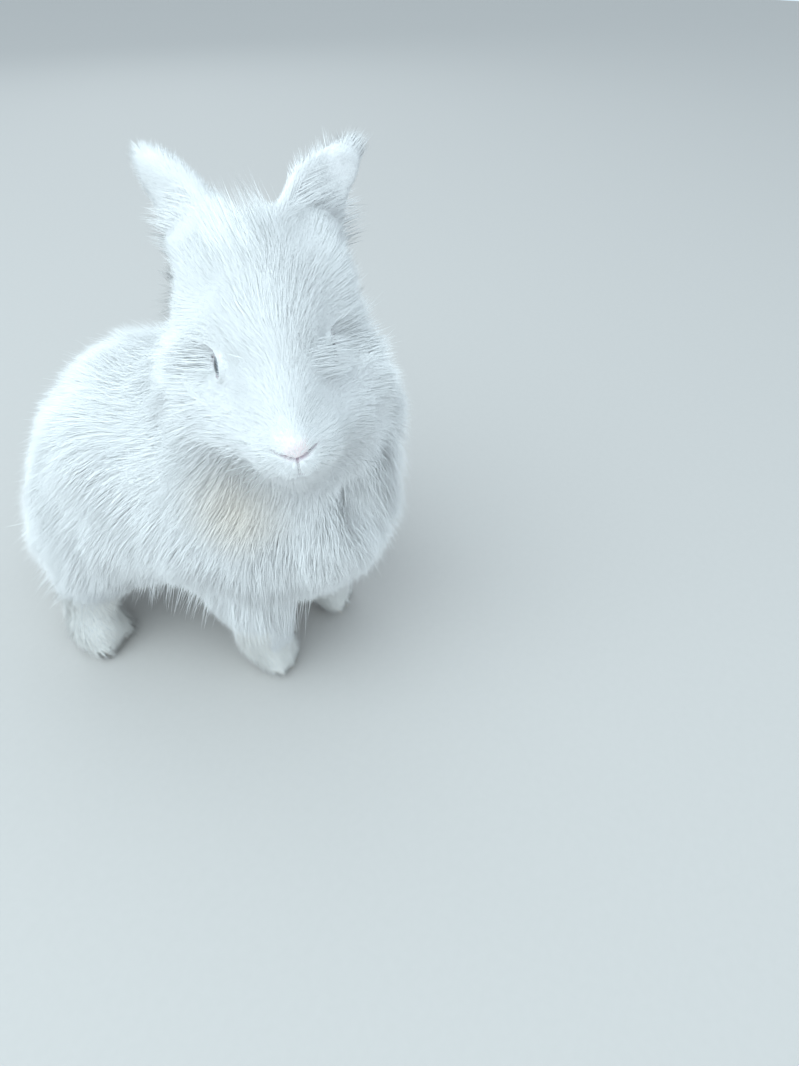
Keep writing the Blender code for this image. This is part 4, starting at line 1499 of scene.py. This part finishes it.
def buildFringes(skin, coat, finishes):
    for name, side, mask, way, scale in fringePlaces(coat):
        settings = fringes[name]
        roots = fringeRoots(skin, coat, mask, way, scale, settings)
        roots = gatherClumps(roots, coatSettings["lockSize"]["lock"])
        curve = tuftCurves(roots, coatSettings["lock"])
        label = "fringe" + name[0].upper() + name[1:] + side.capitalize()
        addCoatPiece(label, curve, roots, coatSettings["lock"], np.arange(len(curve)), finishes)
    print("loose hair set")


whiskerSettings = {
    "rows": 4, "columns": 4,              # on each whisker pad
    "first": (7.0, 8.0, -3.0),            # out, back and up to the foremost one, from the nose tip
    "step": (1.7, 2.9, -2.1),             # out and back along a row, and down from row to row
    "scatter": 0.3,
    "way": (1.0, 0.15, 0.22),             # of the foremost one: out, back and up
    "turn": (0.1, 0.22, -0.26),           # out and back along a row, and down from row to row
    "spread": 0.07,
    "length": (16.0, 34.0),
    "width": 0.16,
    "bend": (0.0, 0.175, -0.125),         # of the tips, over the length: back and down
    "sag": 0.10,
    "places": (0.0, 0.25, 0.5, 0.75, 1.0),
}


def buildWhiskers(coat, finishes, settings):
    ways, roots = [], []
    tree = BVHTree.FromPolygons(coat["inner"].tolist(), coat["triangles"].tolist())
    for sign in sides.values():
        for row in range(settings["rows"]):
            for column in range(settings["columns"]):
                place = np.array(settings["first"]) + np.array(settings["step"]) * (column, column, row)
                place = place + chance.normal(size=3) * settings["scatter"]
                at = tree.find_nearest(Vector(fromHead(place * (sign, 1.0, 1.0))))[0]
                way = np.array(settings["way"]) + np.array(settings["turn"]) * (column, column, row)
                way = way * (sign, 1.0, 1.0) + chance.normal(size=3) * settings["spread"]
                roots.append(at)
                ways.append(unit(way) @ headTurn)
    at, ways = np.array(roots), np.array(ways)
    count = len(at)
    short, tall = settings["length"]
    length = short + (tall - short) * chance.random(count)
    values = {
        "at": at, "face": ways, "out": ways * 0.0, "trail": ways * length[:, None],
        "stray": (np.array(settings["bend"]) @ headTurn) * length[:, None],
        "sag": settings["sag"] * length, "straight": np.ones(count),
        "width": np.full(count, settings["width"]), "tone": np.zeros(count),
        "uv": np.zeros((count, 2)) + 0.5,
    }
    curve = tuftCurves(values, settings["places"])
    addCoatPiece("whiskers", curve, values, settings["places"], np.arange(count), finishes)


# Finishes

# the root colours are painted shade: each tuft darkens towards its root, as the coat looks deep inside in
# shade; the feet's roots also hold a real cream stain
furSettings = {
    "coat": {"tip": (0.955, 0.97, 0.98), "root": (0.93, 0.94, 0.95), "sheen": 0.2},
    "foot": {"tip": (0.975, 0.972, 0.95), "root": (0.945, 0.93, 0.885), "sheen": 0.2},
    "ear": {"tip": (0.955, 0.97, 0.98), "root": (0.93, 0.925, 0.935), "sheen": 0.2},
}
stainSettings = {                         # worn, tanned places: centre and radius in millimetres
    "bib": {"centre": (-42.0, -66.0, 120.0), "radius": 33.0, "tint": (0.80, 0.72, 0.62)},
}


def furFinish(name, settings, groups):
    made, tree, shader = newMaterial(name)
    along = readMask(tree, "along")
    tone = readMask(tree, "tone")
    blotches = placeGroup(tree, groups["blotches"], Scale=28.0)
    # painted shade: darker towards the root
    body = mixColour(tree, along, settings["root"], settings["tip"])
    duller = tuple(value * 0.98 for value in settings["tip"])
    body = mixColour(tree, product(tree, tone, 0.5), body, duller)
    body = mixColour(tree, product(tree, blotches.outputs["Mask"], 0.25), body, duller)
    for stain in stainSettings.values():
        centre = tuple(value * mm for value in stain["centre"])
        spot = placeGroup(tree, groups["spot"], Centre=centre, Radius=stain["radius"] * mm)
        worn = product(tree, spot.outputs["Mask"], 0.7)
        body = mixColour(tree, worn, body, stain["tint"])
    tree.links.new(body, shader.inputs["Base Color"])
    shader.inputs["Roughness"].default_value = 0.62
    shader.inputs["Specular IOR Level"].default_value = 0.25
    shader.inputs["Sheen Weight"].default_value = settings["sheen"]
    shader.inputs["Sheen Roughness"].default_value = 0.6
    return made


def skinFinish(groups):
    made, tree, shader = newMaterial("skin")
    blotches = placeGroup(tree, groups["blotches"], Scale=60.0)
    # painted shade: the bare skin's white is painted darker than the fur, so that where it shows it
    # matches the shaded coat beside it
    shadedFur = mixColour(tree, blotches.outputs["Mask"], (0.80, 0.825, 0.84), (0.85, 0.87, 0.885))
    pink = mixColour(tree, blotches.outputs["Mask"], (0.74, 0.60, 0.61), (0.80, 0.68, 0.69))
    body = mixColour(tree, product(tree, readMask(tree, "innerEar"), 0.12), shadedFur, pink)
    body = mixColour(tree, product(tree, readMask(tree, "pad"), 0.85), body, pink)
    # painted shade in the muzzle's folds, mouth line and cleft
    body = mixColour(tree, readMask(tree, "crease"), body, (0.42, 0.33, 0.38))
    body = mixColour(tree, readMask(tree, "rim"), body, (0.40, 0.34, 0.37))
    tree.links.new(body, shader.inputs["Base Color"])
    place = newNode(tree, "ShaderNodeTexCoord")
    hairs = newNode(tree, "ShaderNodeTexNoise")
    hairs.inputs["Scale"].default_value = 900.0
    bump = newNode(tree, "ShaderNodeBump")
    bump.inputs["Strength"].default_value = 0.35
    bump.inputs["Distance"].default_value = 0.0006
    tree.links.new(place.outputs["Object"], hairs.inputs["Vector"])
    tree.links.new(hairs.outputs["Fac"], bump.inputs["Height"])
    tree.links.new(bump.outputs["Normal"], shader.inputs["Normal"])
    shader.inputs["Roughness"].default_value = 0.7
    shader.inputs["Specular IOR Level"].default_value = 0.3
    return made


def eyeFinish():
    # the iris and pupil are read from the eyeball's own turn towards its axis
    made, tree, shader = newMaterial("eye")
    inward = newNode(tree, "ShaderNodeValToRGB")
    stops = inward.color_ramp.elements
    stops[0].position = 0.0
    stops[0].color = (0.012, 0.014, 0.02, 1.0)
    stops[1].position = 1.0
    stops[1].color = (0.30, 0.30, 0.32, 1.0)
    for position, colour in ((0.30, (0.012, 0.014, 0.02)), (0.38, (0.045, 0.07, 0.10)),
                             (0.66, (0.06, 0.095, 0.13)), (0.76, (0.02, 0.03, 0.045)),
                             (0.86, (0.10, 0.10, 0.12))):
        stop = stops.new(position)
        stop.color = (*colour, 1.0)
    tree.links.new(readMask(tree, "fromPupil"), inward.inputs["Fac"])
    tree.links.new(inward.outputs["Color"], shader.inputs["Base Color"])
    shader.inputs["Roughness"].default_value = 0.08
    shader.inputs["Coat Weight"].default_value = 0.8
    shader.inputs["Coat Roughness"].default_value = 0.03
    return made


def clawFinish(groups):
    made, tree, shader = newMaterial("claw")
    blotches = placeGroup(tree, groups["blotches"], Scale=600.0)
    horn = mixColour(tree, blotches.outputs["Mask"], (0.62, 0.53, 0.46), (0.74, 0.67, 0.60))
    tree.links.new(horn, shader.inputs["Base Color"])
    shader.inputs["Roughness"].default_value = 0.3
    return made


# Eyes, claws and whiskers

def buildEye(side, finish, settings):
    outward, ahead, upward = eyeAxes(side)
    radius = settings["radius"]
    around, rows = settings["segments"]
    mesh = bmesh.new()
    bmesh.ops.create_uvsphere(mesh, u_segments=around, v_segments=rows, radius=radius)
    turn = np.array((ahead, upward, outward))
    points = np.array([vertex.co for vertex in mesh.verts])
    polar = np.arccos(np.clip(points[:, 2] / radius, -1.0, 1.0))
    height, full, none = settings["bulge"]
    bulge = height * (1.0 - smoothStep(full, none, polar))
    points = points * (1.0 + bulge / radius)[:, None] - (0.0, 0.0, settings["settle"])
    points = eyeMiddle[side] + points @ turn
    for vertex, point in zip(mesh.verts, points):
        vertex.co = Vector(point * mm)
    bmesh.ops.recalc_face_normals(mesh, faces=mesh.faces)
    data = bpy.data.meshes.new(f"eyeball_{side}")
    mesh.to_mesh(data)
    mesh.free()
    fromPupil = polar / settings["irisReach"]
    data.attributes.new("fromPupil", "FLOAT", "POINT").data.foreach_set("value", fromPupil)
    data.shade_smooth()
    data.materials.append(finish)
    eye = linkObject(f"eyeball_{side}", data)
    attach(eye, "root")
    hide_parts(f"eye_{side}")


clawSettings = {
    "length": 7.0, "radius": 1.0, "buried": 2.8, "height": 4.6, "droop": 3.2, "corners": 8,
    "flatness": 0.75,                     # width over height
    "taper": 1.6,                         # the higher, the blunter
    "rings": (0.0, 0.25, 0.5, 0.75, 0.92),
    "toes": (-1.5, -0.5, 0.5, 1.5),       # each one's place across the foot, in toes
    "outside": 10.0,                      # ahead of the foot, where the look for its front starts
}


def buildClaws(coat, finish, settings):
    tree = BVHTree.FromPolygons(coat["inner"].tolist(), coat["triangles"].tolist())
    turn = np.arange(settings["corners"]) * 2.0 * math.pi / settings["corners"]
    mesh = bmesh.new()
    for side in sides:
        for kind, spacing in toeSpacing.items():
            middle, ahead, across = footAxis(kind, side)
            for place in settings["toes"]:
                start = middle + across * place * spacing + ahead * settings["outside"]
                way = Vector((-ahead[0], -ahead[1], 0.0))
                hit = tree.ray_cast(Vector((*start, settings["height"])), way)[0]
                root = np.array(hit) - np.array((*ahead, 0.0)) * settings["buried"]
                rows = []
                for share in (*settings["rings"], 1.0):
                    centre = root + np.array((*ahead, 0.0)) * settings["length"] * share
                    centre[2] -= settings["droop"] * share ** 2
                    radius = settings["radius"] * (1.0 - share ** settings["taper"])
                    wide = np.cos(turn) * settings["flatness"]
                    ring = centre + radius * (np.outer(wide, (*across, 0.0))
                                              + np.outer(np.sin(turn), (0.0, 0.0, 1.0)))
                    ring = ring if share < 1.0 else centre[None]
                    rows.append([mesh.verts.new(Vector(point) * mm) for point in ring])
                mesh.faces.new(rows[0])
                for low, high in zip(rows, rows[1:]):
                    for k in range(len(low)):
                        after = (k + 1) % len(low)
                        last = [high[0]] if len(high) == 1 else [high[after], high[k]]
                        mesh.faces.new([low[k], low[after], *last])
    bmesh.ops.recalc_face_normals(mesh, faces=mesh.faces)
    data = bpy.data.meshes.new("claws")
    mesh.to_mesh(data)
    mesh.free()
    data.shade_smooth()
    data.materials.append(finish)
    claws = linkObject("claws", data)
    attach(claws, "root")


def main():
    setCamera(cameraSettings)
    setLights(lightSettings)
    buildFloor(floorSettings)
    skin, coat = buildSkin(skinSettings)
    groups = {"blotches": blotchGroup(), "spot": spotGroup()}
    skin.data.materials.append(skinFinish(groups))
    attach(skin, "root")
    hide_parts(*sorted(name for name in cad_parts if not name.startswith("eye")))
    for side in sides:
        buildEye(side, eyeFinish(), eyeSettings)
    buildClaws(coat, clawFinish(groups), clawSettings)
    finishes = {}
    for name, settings in furSettings.items():
        finishes[name] = furFinish(f"fur_{name}", settings, groups)
    buildCoat(skin, coat, finishes)
    buildFringes(skin, coat, finishes)
    buildWhiskers(coat, finishes, whiskerSettings)


main()
